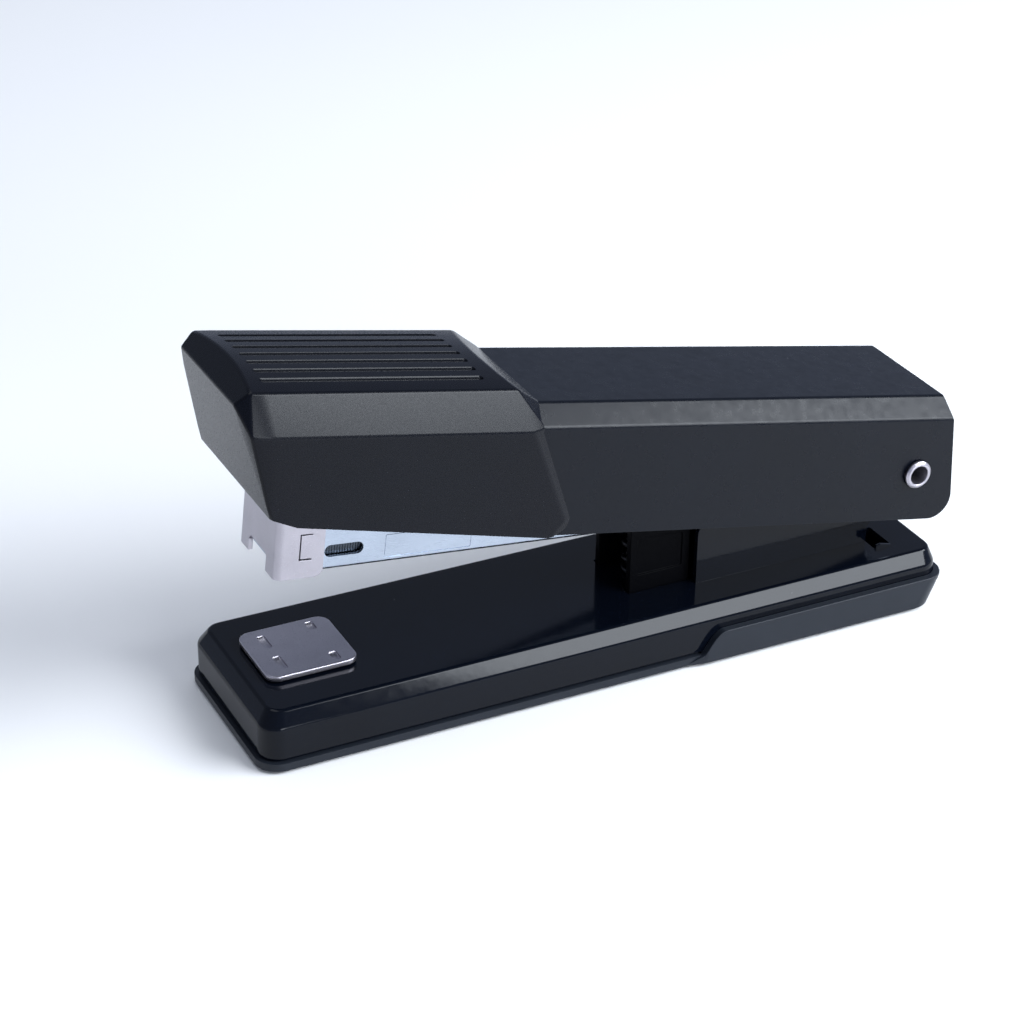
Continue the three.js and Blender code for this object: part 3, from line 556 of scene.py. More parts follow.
def build_cover(sizes):
    """Folded sheet-steel cover, its rear edge leaning forward and its lower corners round."""
    space = handle_space()
    low, high = box_in(space, "cover")
    cap_low = box_in(space, "cap")[0]
    top_rear, corner, step_rear = 4.8, 4.5, -80
    lean = (high.x - top_rear) / (high.z - low.z - corner)
    bottom_rear = top_rear + lean * (high.z - low.z)
    cover = prism(cover_section(sizes, low, high, 0), "X", low.x, high.x + PAST)
    profile = prism([
        (top_rear - 0.3 * lean, high.z + 1),
        (bottom_rear, low.z, corner),
        (step_rear, low.z),
        (step_rear - 2.4, low.z + 1.5),
        (cap_low.x + 14, -3.2),
        (low.x, high.z + 1),
    ], "Y", low.y - PAST, high.y + PAST)
    hollow = cover_section(sizes, low, high, sizes.cover_sheet / MM)
    inner = prism(hollow, "X", low.x - PAST, high.x + 2 * PAST)
    keep(cover, profile)
    cut(cover, inner, prism(circle(0, 0, HINGE_BORE), "Y", low.y - PAST, high.y + PAST))
    softened(cover, 0.22, segments=2, sharper_than=40)
    return stand_for(cover, "steel_cover", "cover", space, finish("cover_enamel"))


def crown_height(sizes, y):
    """Rise of the cap's crowned top, this far from its middle."""
    return sizes.cap_crown / MM * (1 - (y / CAP_ROOF_HALF) ** 2)


def cap_points(sizes):
    """Corner points of the cap's outer form, one for each corner of its facets."""
    steps = 12
    points = []
    for i in range(steps + 1):
        y = CAP_ROOF_HALF * (2 * i / steps - 1)
        rise = crown_height(sizes, y)
        points.append((CAP_FRONT + 0.885 * rise, y, CAP_ROOF + rise))
        points.append((CAP_REAR - 2 * rise, y, CAP_ROOF + rise))
    for side in (-1, 1):
        points += [(x, side * y, z) for x, y, z in CAP_CORNERS]
    return points


def hull(points):
    """Convex solid round a set of points."""
    bm = bmesh.new()
    for point in points:
        bm.verts.new(point)
    made = bmesh.ops.convex_hull(bm, input=bm.verts)
    unused = made["geom_interior"] + made["geom_unused"]
    spare = {item for item in unused if isinstance(item, bmesh.types.BMVert)}
    bmesh.ops.delete(bm, geom=list(spare), context="VERTS")
    bmesh.ops.recalc_face_normals(bm, faces=bm.faces)
    return object_from(bm)


def cap_edge_is_rounded(edge):
    """The cap's rim underneath and its seam against the cover stay crisp."""
    for face in edge.link_faces:
        if face.normal.z < -0.9 or face.normal.x > 0.85:
            return False
    return True


def groove_tool(sizes, y):
    """Cutter for one finger groove, round at its ends and its bottom."""
    width = sizes.groove_width / MM / 2
    depth = sizes.groove_depth / MM
    surface = CAP_ROOF + crown_height(sizes, y)
    front, rear = -139.1, -96.4
    rings = []
    for across, up in ((0.45, -1), (0.8, -0.8), (1, -0.35), (1.08, -0.1), (1.5, 0.25), (1.5, 3)):
        radius = width * across
        ends = (front - radius + width, rear + radius - width)
        outline = oblong(*ends, y - radius, y + radius, radius * 0.99)
        rings.append(ring_at(outline, surface + depth * up))
    return closed_solid(rings)


def build_cap(sizes):
    """Moulded nose cap with a crowned, grooved top and a facet at each front corner."""
    space = handle_space()
    cap = hull(cap_points(sizes))
    softened(cap, sizes.cap_edge / MM, segments=4, pick=cap_edge_is_rounded, sharper_than=14)
    low, high = box_in(space, "cover")
    room_top, room_rear, bottom, half = high.z + CAP_GAP, -60, -16, 20
    room = prism(cover_section(sizes, low, high, -CAP_GAP), "X", -143, room_rear)
    keep(room, prism([
        (room_rear, bottom),
        (room_rear, room_top),
        (-136.8, room_top),
        (-138.6, 8),
        (-134.3, -4.5),
        (-134.3, bottom),
    ], "Y", -half, half))
    cut(cap, room)
    for i in range(sizes.groove_count):
        y = (i - (sizes.groove_count - 1) / 2) * sizes.groove_pitch / MM
        cut(cap, groove_tool(sizes, y))
    return stand_for(cap, "ribbed_cap", "cap", space, finish("cap_moulding"))


def build_driver(sizes):
    """Stiffening beam under the cover, and the hardened blade that pushes the staples."""
    space = handle_space()
    low, high = box_in(space, "driver_beam")
    window_half = 3.4
    beam = prism(oblong(low.x, high.x, low.y, high.y, 2.5), "Z", low.z, high.z)
    window = oblong(low.x + 22, high.x - 20, -window_half, window_half, 1)
    cut(beam, prism(window, "Z", low.z - 1, high.z + 1))
    softened(beam, 0.25)
    stand_for(beam, "driver_stiffener", "driver_beam", space, finish("zinc_plate"))

    low, high = box_in(space, "driver_blade")
    sheet = sizes.blade_sheet / MM
    blade = prism([
        (low.x, low.z),
        (low.x + sheet, low.z),
        (low.x + sheet, high.z - sheet, 0.6),
        (high.x, high.z - sheet),
        (high.x, high.z),
        (low.x, high.z, 1.1),
    ], "Y", low.y, high.y)
    softened(blade, 0.08, segments=2)
    stand_for(blade, "driver_blade_steel", "driver_blade", space, finish("spring_wire"))


def domed_pin(low, high, shank, head_height):
    """Pin along Z with a domed head at its lower end."""
    head = (high.y - low.y) / 2
    return turned([
        (0, low.z),
        (head * 0.55, low.z, 0.6),
        (head, low.z + head_height * 0.5, 0.3),
        (head, low.z + head_height, 0.15),
        (shank, low.z + head_height),
        (shank, high.z, 0.2),
        (0, high.z),
    ], "Z", ((low.x + high.x) / 2, (low.y + high.y) / 2))


def cross_recess(screw, low, high, depth):
    """Cuts a cross recess into the lower end of a screw."""
    x, y, head = (low.x + high.x) / 2, (low.y + high.y) / 2, (high.y - low.y) / 2
    long, short = head * 0.5, head * 0.1
    for half_x, half_y in ((long, short), (short, long)):
        cut(screw, block(x - half_x, x + half_x, y - half_y, y + half_y, low.z - 1, low.z + depth))


def build_fasteners():
    """Driver rivets, cap screws, the stop bracket's rivet and the pusher spring's anchor."""
    zinc = finish("zinc_plate")
    space = handle_space()
    screw_head = 1.3
    for number in (1, 2):
        rivet = domed_pin(*box_in(space, f"driver_rivet_{number}"), 1.1, 0.6)
        stand_for(rivet, f"blade_rivet_{number}", f"driver_rivet_{number}", space, zinc)
        low, high = box_in(space, f"cap_screw_{number}")
        screw = domed_pin(low, high, 1.2, screw_head)
        cross_recess(screw, low, high, screw_head * 0.6)
        stand_for(screw, f"cross_screw_{number}", f"cap_screw_{number}", space, zinc)
    space = magazine_space()
    low, high = box_in(space, "bracket_rivet")
    shank, head = 1.1, 0.7
    rivet = domed_pin(low, high, shank, head)
    under, upset_radius = high.z - head, 2
    upset = turned([
        (0, under),
        (upset_radius, under, 0.15),
        (upset_radius, under + 0.4, 0.2),
        (shank, high.z, 0.4),
        (0, high.z),
    ], "Z", ((low.x + high.x) / 2, 0))
    fused(rivet, upset)
    stand_for(rivet, "bracket_rivet_head", "bracket_rivet", space, zinc)
    low, high = box_in(space, "spring_anchor")
    radius, edge = 0.6, 0.15
    centre = ((low.x + high.x) / 2, (low.z + high.z) / 2)
    outline = [(0, low.y), (radius, low.y, edge), (radius, high.y, edge), (0, high.y)]
    pin = turned(outline, "Y", centre)
    stand_for(pin, "spring_anchor_pin", "spring_anchor", space, zinc)


def build_hinge():
    """Hollow flared rivet through the hinge, and the two bushes that centre the handle."""
    space = handle_space()
    high = box_in(space, "hinge_rivet")[1]
    end, flare, shank, flange = high.y, high.z, 2.3, 0.9
    face = end - flange
    half = [
        (shank, face),
        (flare, face, 0.25),
        (flare, face + 0.5, 0.3),
        (flare - 0.5, end, 0.25),
        (flare - 0.95, end, 0.25),
        (1.75, face - 0.4, 0.8),
        (1.6, face - 1.6),
    ]
    other_half = [(corner[0], -corner[1], *corner[2:]) for corner in reversed(half)]
    rivet = turned(half + other_half, "Y", (0, 0), ring=True)
    stand_for(rivet, "hollow_rivet", "hinge_rivet", space, finish("nickel_plate"))
    for side in ("near", "far"):
        low, high = box_in(space, f"hinge_bush_{side}")
        bush = turned([
            (HINGE_BORE, low.y),
            (high.z, low.y, 0.4),
            (high.z, high.y, 0.4),
            (HINGE_BORE, high.y),
        ], "Y", (0, 0), ring=True)
        stand_for(bush, f"nylon_bush_{side}", f"hinge_bush_{side}", space, finish("bush_nylon"))


# ---------------------------------------------------------------- magazine, in millimetres


def folded_roof(half, bottom, top, wall, roof, ends):
    """Sheet folded down both sides of a flat roof, open underneath."""
    outer = prism(mirrored([(half, bottom), (half, top, 0.8)]), "X", *ends)
    inner_half = half - wall
    inner = mirrored([(inner_half, bottom - PAST), (inner_half, top - roof, 0.3)])
    return cut(outer, prism(inner, "X", ends[0] - PAST, ends[1] + PAST))


def stamped_line(x0, x1, z0, z1, face):
    """Shallow rectangular line pressed into a side face."""
    width, depth, corner = 0.28, 0.09, 0.25
    line = prism(oblong(x0, x1, z0, z1, corner), "Y", face - depth, face + depth)
    field = oblong(x0 + width, x1 - width, z0 + width, z1 - width, corner)
    return cut(line, prism(field, "Y", face - 1, face + 1))


def build_channel(sizes):
    """Plated staple channel: folded corners, a side slot, a stamped panel and a raised hinge end."""
    space = magazine_space()
    low, high = box_in(space, "magazine_channel")
    sheet, half, front_top = sizes.channel_sheet / MM, high.y, 0.6
    inner_half = half - sheet
    across = (-half - PAST, half + PAST)
    channel = prism(mirrored([(half, low.z, 0.9), (half, high.z)]), "X", low.x, high.x)
    inner = mirrored([(inner_half, low.z + sheet, 0.4), (inner_half, high.z + PAST)])
    keep(channel, prism([
        (low.x, low.z),
        (low.x, front_top),
        (-14, front_top, 3),
        (-7, high.z, 3),
        (0, high.z, 3),
        (high.x, 1.5, 4),
        (high.x, -5.2, 3),
        (1.8, low.z, 2),
    ], "Y", *across))
    cut(channel, prism(inner, "X", low.x - PAST, high.x + PAST))
    cut(channel, prism(oblong(-121.2, -113.6, -7.1, -4.7, 1.19), "Y", *across))
    cut(channel, prism(circle(0, 0, HINGE_BORE), "Y", *across))
    for side in (-1, 1):
        cut(channel, stamped_line(-109.5, -91.9, -8.6, -3.8, side * half))
    softened(channel, 0.1, segments=2, sharper_than=40)
    return stand_for(channel, "plated_channel", "magazine_channel", space, finish("zinc_plate"))


def build_nose(sizes):
    """Pressed nose piece round the channel's front, with its centre notch and locking tab."""
    space = magazine_space()
    low, high = box_in(space, "nose_piece")
    sheet = 0.9
    bend = sizes.nose_bend / MM
    inner_bend = bend - 0.6
    nose = prism([
        (low.x, low.y, bend),
        (high.x, low.y),
        (high.x, low.y + sheet),
        (low.x + sheet, low.y + sheet, inner_bend),
        (low.x + sheet, high.y - sheet, inner_bend),
        (high.x, high.y - sheet),
        (high.x, high.y),
        (low.x, high.y, bend),
    ], "Z", low.z, high.z)
    side_view = [(low.x - 1, low.z), (high.x, low.z, 1.6), (high.x, high.z), (low.x - 1, high.z)]
    keep(nose, prism(side_view, "Y", low.y - PAST, high.y + PAST))
    notch_half, notch_top = 4.1, low.z + 3.4
    cut(nose, prism([
        (-notch_half, low.z - PAST),
        (notch_half, low.z - PAST),
        (notch_half, notch_top - 0.9, 0.8),
        (notch_half - 0.9, notch_top, 0.4),
        (0.4 - notch_half, notch_top, 0.4),
        (-notch_half, notch_top - 0.4, 0.3),
    ], "X", low.x - PAST, low.x + 2))
    tab_x, tab_end, top, bottom, slit = low.x + 4.5, low.x + 6.8, -1.4, -6.4, 0.1
    for side in (-1, 1):
        depth = span(side, high.y - sheet - 1, high.y + 1)
        cut(nose, block(tab_x - slit, tab_x + slit, *depth, bottom - slit, top + slit))
        cut(nose, block(tab_x - slit, tab_end, *depth, top - slit, top + slit))
        cut(nose, block(tab_x - slit, tab_end, *depth, bottom - slit, bottom + 2 * slit))
    softened(nose, 0.16, segments=2, sharper_than=40)
    return stand_for(nose, "nose_plate", "nose_piece", space, finish("nickel_plate"))


def build_rail(sizes):
    """Inverted channel that the staples ride on, with the slot for the pusher's tongue."""
    space = magazine_space()
    low, high = box_in(space, "staple_rail")
    sheet, slot_half = sizes.rail_sheet / MM, 1.4
    rail = folded_roof(high.y, low.z, high.z, sheet, sheet, (low.x, high.x))
    slot = oblong(-124, -28, -slot_half, slot_half, slot_half - 0.05)
    cut(rail, prism(slot, "Z", high.z - 2, high.z + 2))
    softened(rail, 0.08, segments=2, sharper_than=40)
    return stand_for(rail, "guide_rail", "staple_rail", space, finish("zinc_plate"))


def build_staples(sizes):
    """The strip, staple by staple."""
    space = magazine_space()
    low, high = box_in(space, "staple_strip")
    gauge = sizes.staple_gauge / MM
    pitch = (high.x - low.x) / sizes.staple_count
    half, glue_line = high.y, 0.02
    outline = [
        (-half, low.z),
        (-half + gauge, low.z),
        (-half + gauge, high.z - gauge, 0.25),
        (half - gauge, high.z - gauge, 0.25),
        (half - gauge, low.z),
        (half, low.z),
        (half, high.z, 0.6),
        (-half, high.z, 0.6),
    ]
    staples = []
    for i in range(sizes.staple_count):
        start = low.x + i * pitch
        staples.append(prism(outline, "X", start + glue_line, start + pitch - glue_line))
    strip = softened(joined(staples), 0.09, segments=2, sharper_than=60)
    return stand_for(strip, "staples", "staple_strip", space, finish("galvanised_wire"))


def build_pusher():
    """Folded pusher that rides the rail, with its finger grip."""
    space = magazine_space()
    low, high = box_in(space, "pusher")
    leg_bottom = box_in(space, "staple_strip")[0].z
    under = box_in(space, "staple_rail")[1].z + 0.3
    roof = 0.8
    top = under + roof
    pusher = folded_roof(high.y, leg_bottom, top, 0.5, roof, (low.x, high.x))
    grip = prism([
        (high.x - 5, under + 0.1),
        (high.x, under + 0.1),
        (high.x, high.z, 1.2),
        (high.x - 3.6, high.z, 1.2),
    ], "Y", -4, 4)
    tongue = prism([
        (low.x, low.z, 0.5),
        (low.x + 3.2, low.z, 0.5),
        (low.x + 3.2, top - 0.1),
        (low.x, top - 0.1),
    ], "Y", -1.1, 1.1)
    fused(pusher, grip, tongue)
    softened(pusher, 0.12, segments=2, sharper_than=40)
    return stand_for(pusher, "strip_pusher", "pusher", space, finish("zinc_plate"))


def build_bracket():
    """Moulded stop bracket between the magazine and the base, with a sunk panel on each side."""
    space = base_space()
    low, high = box_in(space, "stop_bracket")
    slope = math.tan(magazine_tilt())
    half, wall, roof, rivet_hole = 7.0, 1.6, 1.4, 1.7
    front, rear, foot = low.x, high.x, low.z + 1.5
    top_rear = high.z - slope * (rear - front)

    def side_outline(past, lowered, bottom):
        return [
            (front - past, bottom),
            (rear + past, bottom),
            (rear + past, top_rear - lowered - slope * past),
            (front - past, high.z - lowered + slope * past),
        ]

    bracket = prism(side_outline(0, 0, low.z), "Y", -half, half)
    for side in (-1, 1):
        flange = span(side, half - wall, half + 1.2)
        fused(bracket, block(front + 1, rear - 1, *flange, low.z, foot))
    cut(bracket, prism(side_outline(PAST, roof, low.z - PAST), "Y", wall - half, half - wall))
    rivet_low, rivet_high = box_in(space, "bracket_rivet")
    rivet_x = (rivet_low.x + rivet_high.x) / 2
    cut(bracket, prism(circle(rivet_x, 0, rivet_hole), "Z", top_rear - 4, high.z + 2))
    margin, corner = 1.6, 0.6
    panel = [
        (front + margin, foot + 5, corner),
        (rear - margin, foot + 5, corner),
        (rear - margin, top_rear - margin, corner),
        (front + margin, high.z - 2.2, corner),
    ]
    for side in (-1, 1):
        cut(bracket, prism(panel, "Y", *span(side, half - 0.35, half + 1)))
    softened(bracket, 0.3, segments=3, sharper_than=30)
    return stand_for(bracket, "stop_block", "stop_bracket", space, finish("bracket_moulding"))


# ---------------------------------------------------------------- base, in millimetres


BOOT_TOP = 6.9
LEDGE_TOP = 6.3
BOOT_FRONT = -48.6
SHOULDER_RUN, SHOULDER_DROP = 2.0, 3.0
EAR_RADIUS = 5.5
EAR_FRONT, EAR_REAR = -44.5, -5.4


def base_top():
    """Height of the base plate's top, just under the anvil."""
    return box_in(base_space(), "anvil_plate")[0].z - 0.3


def base_form(sizes, low, high, top, inset, bottom):
    """The pressed base plate's form, a sheet's depth in: a pan whose shoulders slope all round."""
    slope = math.hypot(SHOULDER_RUN, SHOULDER_DROP)
    across = inset * (slope - SHOULDER_RUN) / SHOULDER_DROP
    shoulder = top - SHOULDER_DROP - inset * (slope - SHOULDER_DROP) / SHOULDER_RUN
    side, upper = high.y - inset, high.y - SHOULDER_RUN - across
    front, rear = low.x + inset, high.x - inset
    skirt = oblong(front, rear, -side, side, 4 - inset)
    roof = oblong(low.x + SHOULDER_RUN + across, rear - 1, -upper, upper, 2.8 - inset)
    form = closed_solid([
        ring_at(skirt, bottom),
        ring_at(skirt, shoulder),
        ring_at(roof, top - inset),
    ])
    bend = max(sizes.base_bend / MM - inset, 0.2) * 0.42
    return softened(form, bend, 4, lambda edge: middle(edge).z > shoulder - 0.01, sharper_than=15)


def ear_outline(root, height):
    """One hinge ear, seen from the side: a long web under a round eye."""
    start, end, steps = math.radians(104), math.radians(-36), 20
    eye = []
    for i in range(steps + 1):
        angle = start + (end - start) * i / steps
        eye.append((EAR_RADIUS * math.cos(angle), height + EAR_RADIUS * math.sin(angle)))
    front = [(EAR_FRONT, root), (EAR_FRONT, 24, 2)]
    return front + eye + [(EAR_REAR, 15.3, 1.2), (EAR_REAR, root)]


def add_ear(plate, side, top, sheet):
    """Turns an ear up from the plate, and opens the window it is bent from, with its lip."""
    fused(plate, prism(ear_outline(top - sheet, HINGE.z / MM), "Y", *span(side, 8, 9.2)))
    window = oblong(EAR_REAR, -1.4, *span(side, 4.6, 12.4), 0.5)
    cut(plate, prism(window, "Z", top - 4, top + 1.2))
    bracket_low, bracket_high = box_in(base_space(), "stop_bracket")
    slot = oblong(bracket_low.x - 0.3, bracket_high.x + 3.0, *span(side, 5.1, 7.3), 0.4)
    cut(plate, prism(slot, "Z", top - 4, top + 2))
    fused(plate, prism([
        (-5.2, top - 0.3),
        (-1.6, top - 0.3),
        (-1.6, top + 0.2),
        (-4.2, top + 0.85, 0.3),
        (-5.2, top + 0.7, 0.3),
    ], "Y", *span(side, 12.2, 12.75)))


def build_base_plate(sizes):
    """Pressed steel base: sloping shoulders, two hinge ears turned up from it and their windows."""
    space = base_space()
    low, high = box_in(space, "base_plate")
    anvil_low, anvil_high = box_in(space, "anvil_plate")
    top, sheet, half = base_top(), sizes.base_sheet / MM, 25
    plate = base_form(sizes, low, high, top, 0, low.z)
    cut(plate, base_form(sizes, low, high, top, sheet, low.z - PAST))
    cut(plate, block(high.x - 4, high.x + PAST, -half, half, 0, LEDGE_TOP + 0.15))
    for side in (-1, 1):
        add_ear(plate, side, top, sheet)
    cut(plate, prism(circle(0, HINGE.z / MM, HINGE_BORE), "Y", -half, half))
    post_hole = circle((anvil_low.x + anvil_high.x) / 2, 0, 2.5)
    cut(plate, prism(post_hole, "Z", top - 4, top + 4))
    softened(plate, 0.14, segments=2, sharper_than=42)
    return stand_for(plate, "steel_base", "base_plate", space, finish("base_enamel"))


def ease(t):
    """Smooth rise from 0 to 1."""
    return t * t * (3 - 2 * t)


def boot_form(low, high, floor, rim_half, top):
    """The boot round the rear: it leans in below its ledge, and sweeps down to the rim in front."""
    half, run, lean, steps = high.y, 5, 0.6, 12
    rings = []
    for level, rear in ((low.z, high.x - 2.6), (LEDGE_TOP, high.x), (BOOT_TOP, high.x)):
        rings.append(ring_at(oblong(BOOT_FRONT - 9, rear, -half, half, 4.8), level))
    boot = closed_solid(rings)
    rise = []
    for i in range(1, steps + 1):
        t = i / steps
        x = BOOT_FRONT + run * t - lean * math.sin(math.pi * t)
        rise.append((x, floor + (BOOT_TOP - floor) * ease(t)))
    keep(boot, prism([
        (BOOT_FRONT - 3.5, low.z),
        (BOOT_FRONT, floor),
        *rise,
        (high.x + 1, BOOT_TOP),
        (high.x + 1, low.z),
    ], "Y", -half - 1, half + 1))
    keep(boot, prism([
        (BOOT_FRONT - 8, -rim_half),
        (BOOT_FRONT - 3, -rim_half),
        (BOOT_FRONT + 1, -half, 2),
        (high.x + 2, -half),
        (high.x + 2, half),
        (BOOT_FRONT + 1, half, 2),
        (BOOT_FRONT - 3, rim_half),
        (BOOT_FRONT - 8, rim_half),
    ], "Z", low.z - 1, top + 1))
    softened(boot, 0.6, segments=4, sharper_than=30, pick=lambda edge: middle(edge).z > low.z + 1.2)
    softened(boot, 0.3, segments=2, sharper_than=50, pick=lambda edge: middle(edge).z < low.z + 0.05)
    return boot


def build_base_shell():
    """Moulded shell under the base, a low rim that steps up into a boot round the rear."""
    space = base_space()
    low, high = box_in(space, "base_shell")
    plate_low, plate_high = box_in(space, "base_plate")
    anvil_low, anvil_high = box_in(space, "anvil_plate")
    bracket_low, bracket_high = box_in(space, "stop_bracket")
    top, floor, rim_half = base_top(), low.z + 1.6, plate_high.y + 0.8
    through = (low.z - PAST, floor + PAST)
    rim = oblong(low.x, plate_high.x - 8, -rim_half, rim_half, 4.6)
    shell = prism(rim, "Z", low.z, floor)
    softened(shell, 0.3, segments=2, pick=lambda edge: middle(edge).x < BOOT_FRONT - 4)
    boot = boot_form(low, high, floor, rim_half, top)
    gap = 0.12
    room = plate_high.y + gap
    cut(boot, prism(oblong(BOOT_FRONT - 9, plate_high.x - 3.9, -room, room, 0), "Z", floor, top))
    pocket = oblong(BOOT_FRONT - 12, plate_high.x + gap, -room, room, 4.1)
    cut(boot, prism(pocket, "Z", LEDGE_TOP, top))
    fused(shell, boot)
    wall = 1.5
    outer_half, inner_half = plate_high.y - wall, plate_high.y - 2 * wall
    outer = oblong(plate_low.x + wall, plate_high.x - wall, -outer_half, outer_half, 2.5)
    inner = oblong(plate_low.x + 2 * wall, plate_high.x - 2 * wall, -inner_half, inner_half, 1.5)
    fused(shell, cut(prism(outer, "Z", floor - 0.5, 8), prism(inner, "Z", floor - 2, 12)))
    well = oblong(bracket_low.x - 1.2, bracket_high.x + 8.5, -9.4, 9.4, 1.0)
    cut(shell, prism(well, "Z", *through))
    button_hole = circle((anvil_low.x + anvil_high.x) / 2, 0, 5.3)
    cut(shell, prism(button_hole, "Z", *through))
    margin = 0.3
    for node in ("foot_front", "foot_rear"):
        foot_low, foot_high = box_in(space, node)
        width = (foot_low.y - margin, foot_high.y + margin)
        recess = oblong(foot_low.x - margin, foot_high.x + margin, *width, 3.3)
        cut(shell, prism(recess, "Z", low.z - PAST, foot_high.z + margin))
    return stand_for(shell, "plastic_shell", "base_shell", space, finish("shell_moulding"))


def build_feet():
    """Rubber pads with moulded grip ribs."""
    space = base_space()
    grooves, half_width, depth = 6, 0.35, 0.3
    for end in ("front", "rear"):
        low, high = box_in(space, f"foot_{end}")
        pad = prism(oblong(low.x, high.x, low.y, high.y, 3), "Z", low.z, high.z)
        softened(pad, 0.25, segments=3)
        for i in range(grooves):
            x = low.x + 3 + i * (high.x - low.x - 6) / (grooves - 1)
            width = (low.y + 2, high.y - 2)
            cut(pad, block(x - half_width, x + half_width, *width, low.z - 1, low.z + depth))
        stand_for(pad, f"rubber_pad_{end}", f"foot_{end}", space, finish("foot_rubber"))


def clinch_pocket(x, ends, level):
    """Cutter for the shallow pocket that bends one staple leg."""
    half = 0.8
    pocket = turned([(0, -half), (half, -half, 0.3), (half, half, 0.3), (0, half)], "X", (0, 0))
    start, end = ends
    pocket.data.transform(Matrix.Diagonal((1, (end - start) / (2 * half), 0.75, 1)))
    pocket.data.transform(Matrix.Translation((x, (start + end) / 2, level)))
    return pocket


def build_anvil():
    """Turning anvil with its two pairs of clinching pockets, and its press button."""
    space = base_space()
    low, high = box_in(space, "anvil_plate")
    plate = prism(oblong(low.x, high.x, low.y, high.y, 2.5), "Z", low.z, high.z)
    softened(plate, 0.3, segments=3)
    x = (low.x + high.x) / 2
    for offset, inner, outer in ((-5, 1.6, 6.2), (5, 4.3, 7.3)):
        for side in (-1, 1):
            cut(plate, clinch_pocket(x + offset, span(side, inner, outer), high.z))
    stand_for(plate, "turning_anvil", "anvil_plate", space, finish("nickel_plate"))
    low, high = box_in(space, "anvil_button")
    button, flange, stem = 5, 6.6, 2.2
    flange_bottom = box_in(space, "base_shell")[0].z + 1.9
    flange_top = flange_bottom + 1
    post = turned([
        (0, low.z),
        (button, low.z, 0.7),
        (button, flange_bottom),
        (flange, flange_bottom, 0.2),
        (flange, flange_top, 0.2),
        (stem, flange_top, 0.3),
        (stem, high.z, 0.2),
        (0, high.z),
    ], "Z", (x, 0))
    stand_for(post, "anvil_post_button", "anvil_button", space, finish("zinc_plate"))


# ---------------------------------------------------------------- springs, in millimetres


def helix(radius, turns, start, end, closed_turns=0.75):
    """Points of a compression coil along Z, its end turns lying flat."""
    points = []
    steps = int(turns * 28)
    for i in range(steps + 1):
        turn = turns * i / steps
        share = min(max((turn - closed_turns) / (turns - 2 * closed_turns), 0), 1)
        angle = 2 * math.pi * turn
        x, y = radius * math.cos(angle), radius * math.sin(angle)
        points.append(Vector((x, y, start + (end - start) * share)))
    return points


def base_coil(node, name, gauge):
    """Upright coil of the base, sized from its frame node."""
    space = base_space()
    low, high = box_in(space, node)
    centre = (low + high) / 2
    radius = (high.y - low.y) / 2 - gauge
    line = helix(radius, 4.5, low.z + gauge, high.z - gauge)
    points = [point + Vector((centre.x, 0, 0)) for point in line]
    coil = stand_for(wire(points, gauge), name, node, space, finish("blackened_wire"))
    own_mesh(coil)


def build_lift_coil():
    """Coil that holds the magazine up, squeezed as the magazine is pressed down."""
    base_coil("lift_spring", "lift_coil", 0.45)


def build_anvil_coil():
    """Coil round the anvil's post, squeezed as the button is pressed up."""
    base_coil("anvil_spring", "anvil_coil", 0.35)


def build_pusher_coil():
    """Long thin coil that pulls the pusher forward."""
    space = magazine_space()
    low, high = box_in(space, "pusher_spring")
    gauge, radius, turns = 0.3, 1.5, 18
    centre = (low + high) / 2
    points = []
    for point in helix(radius, turns, low.x + gauge, high.x - gauge, closed_turns=0.1):
        points.append(Vector((point.z, point.x, centre.z + point.y)))
    coil = wire(points, gauge)
    stand_for(coil, "pusher_coil", "pusher_spring", space, finish("spring_wire"))


def torsion_line():
    """Points of the torsion spring: a straight arm, the coil's turns along Y, and the other arm."""
    radius, turns, arm, pitch = 3.4, 6, 8, 1.35
    steps, arm_steps = turns * 32, 8
    start = math.pi / 2 - math.radians(35)
    sweep = 2 * start + 2 * math.pi * turns
    points = []
    for i in range(-arm_steps, steps + arm_steps + 1):
        turned_to = min(max(i, 0), steps) / steps
        extra = arm * (i - min(max(i, 0), steps)) / arm_steps
        angle = start - sweep * turned_to
        points.append(Vector((
            radius * math.cos(angle) + extra * math.sin(angle),
            pitch * turns * (turned_to - 0.5),
            radius * math.sin(angle) - extra * math.cos(angle),
        )))
    return points


def build_springs():
    """Lift coil, anvil coil, pusher coil and the handle's torsion spring."""
    build_lift_coil()
    build_anvil_coil()
    build_pusher_coil()
    coil = wire(torsion_line(), 0.5)
    stand_for(coil, "torsion_coil", "torsion_spring", handle_space(), finish("spring_wire"))


# ---------------------------------------------------------------- studio


def plain_surface(name, colour, roughness):
    """Matt surface whose tone hardly changes."""
    material, nodes, links, shader, at = new_finish(name)
    tone = mottled(nodes, links, noise(nodes, links, at, 0.02), colour, 0.995, 1)
    links.new(tone, shader.inputs["Base Color"])
    shader.inputs["Roughness"].default_value = roughness
    return material


def area_light(name, place, target, width, depth, power):
    """Softbox at a place, in metres, that faces a target."""
    light = bpy.data.lights.new(name, "AREA")
    light.shape = "RECTANGLE"
    light.size = width
    light.size_y = depth
    light.energy = power
    lamp = bpy.data.objects.new(name, light)
    bpy.context.scene.collection.objects.link(lamp)
    light.color = bpy.context.scene.stapler_studio.light_colour
    lamp.location = place
    lamp.rotation_euler = (Vector(target) - Vector(place)).to_track_quat("-Z", "Y").to_euler()
    return lamp


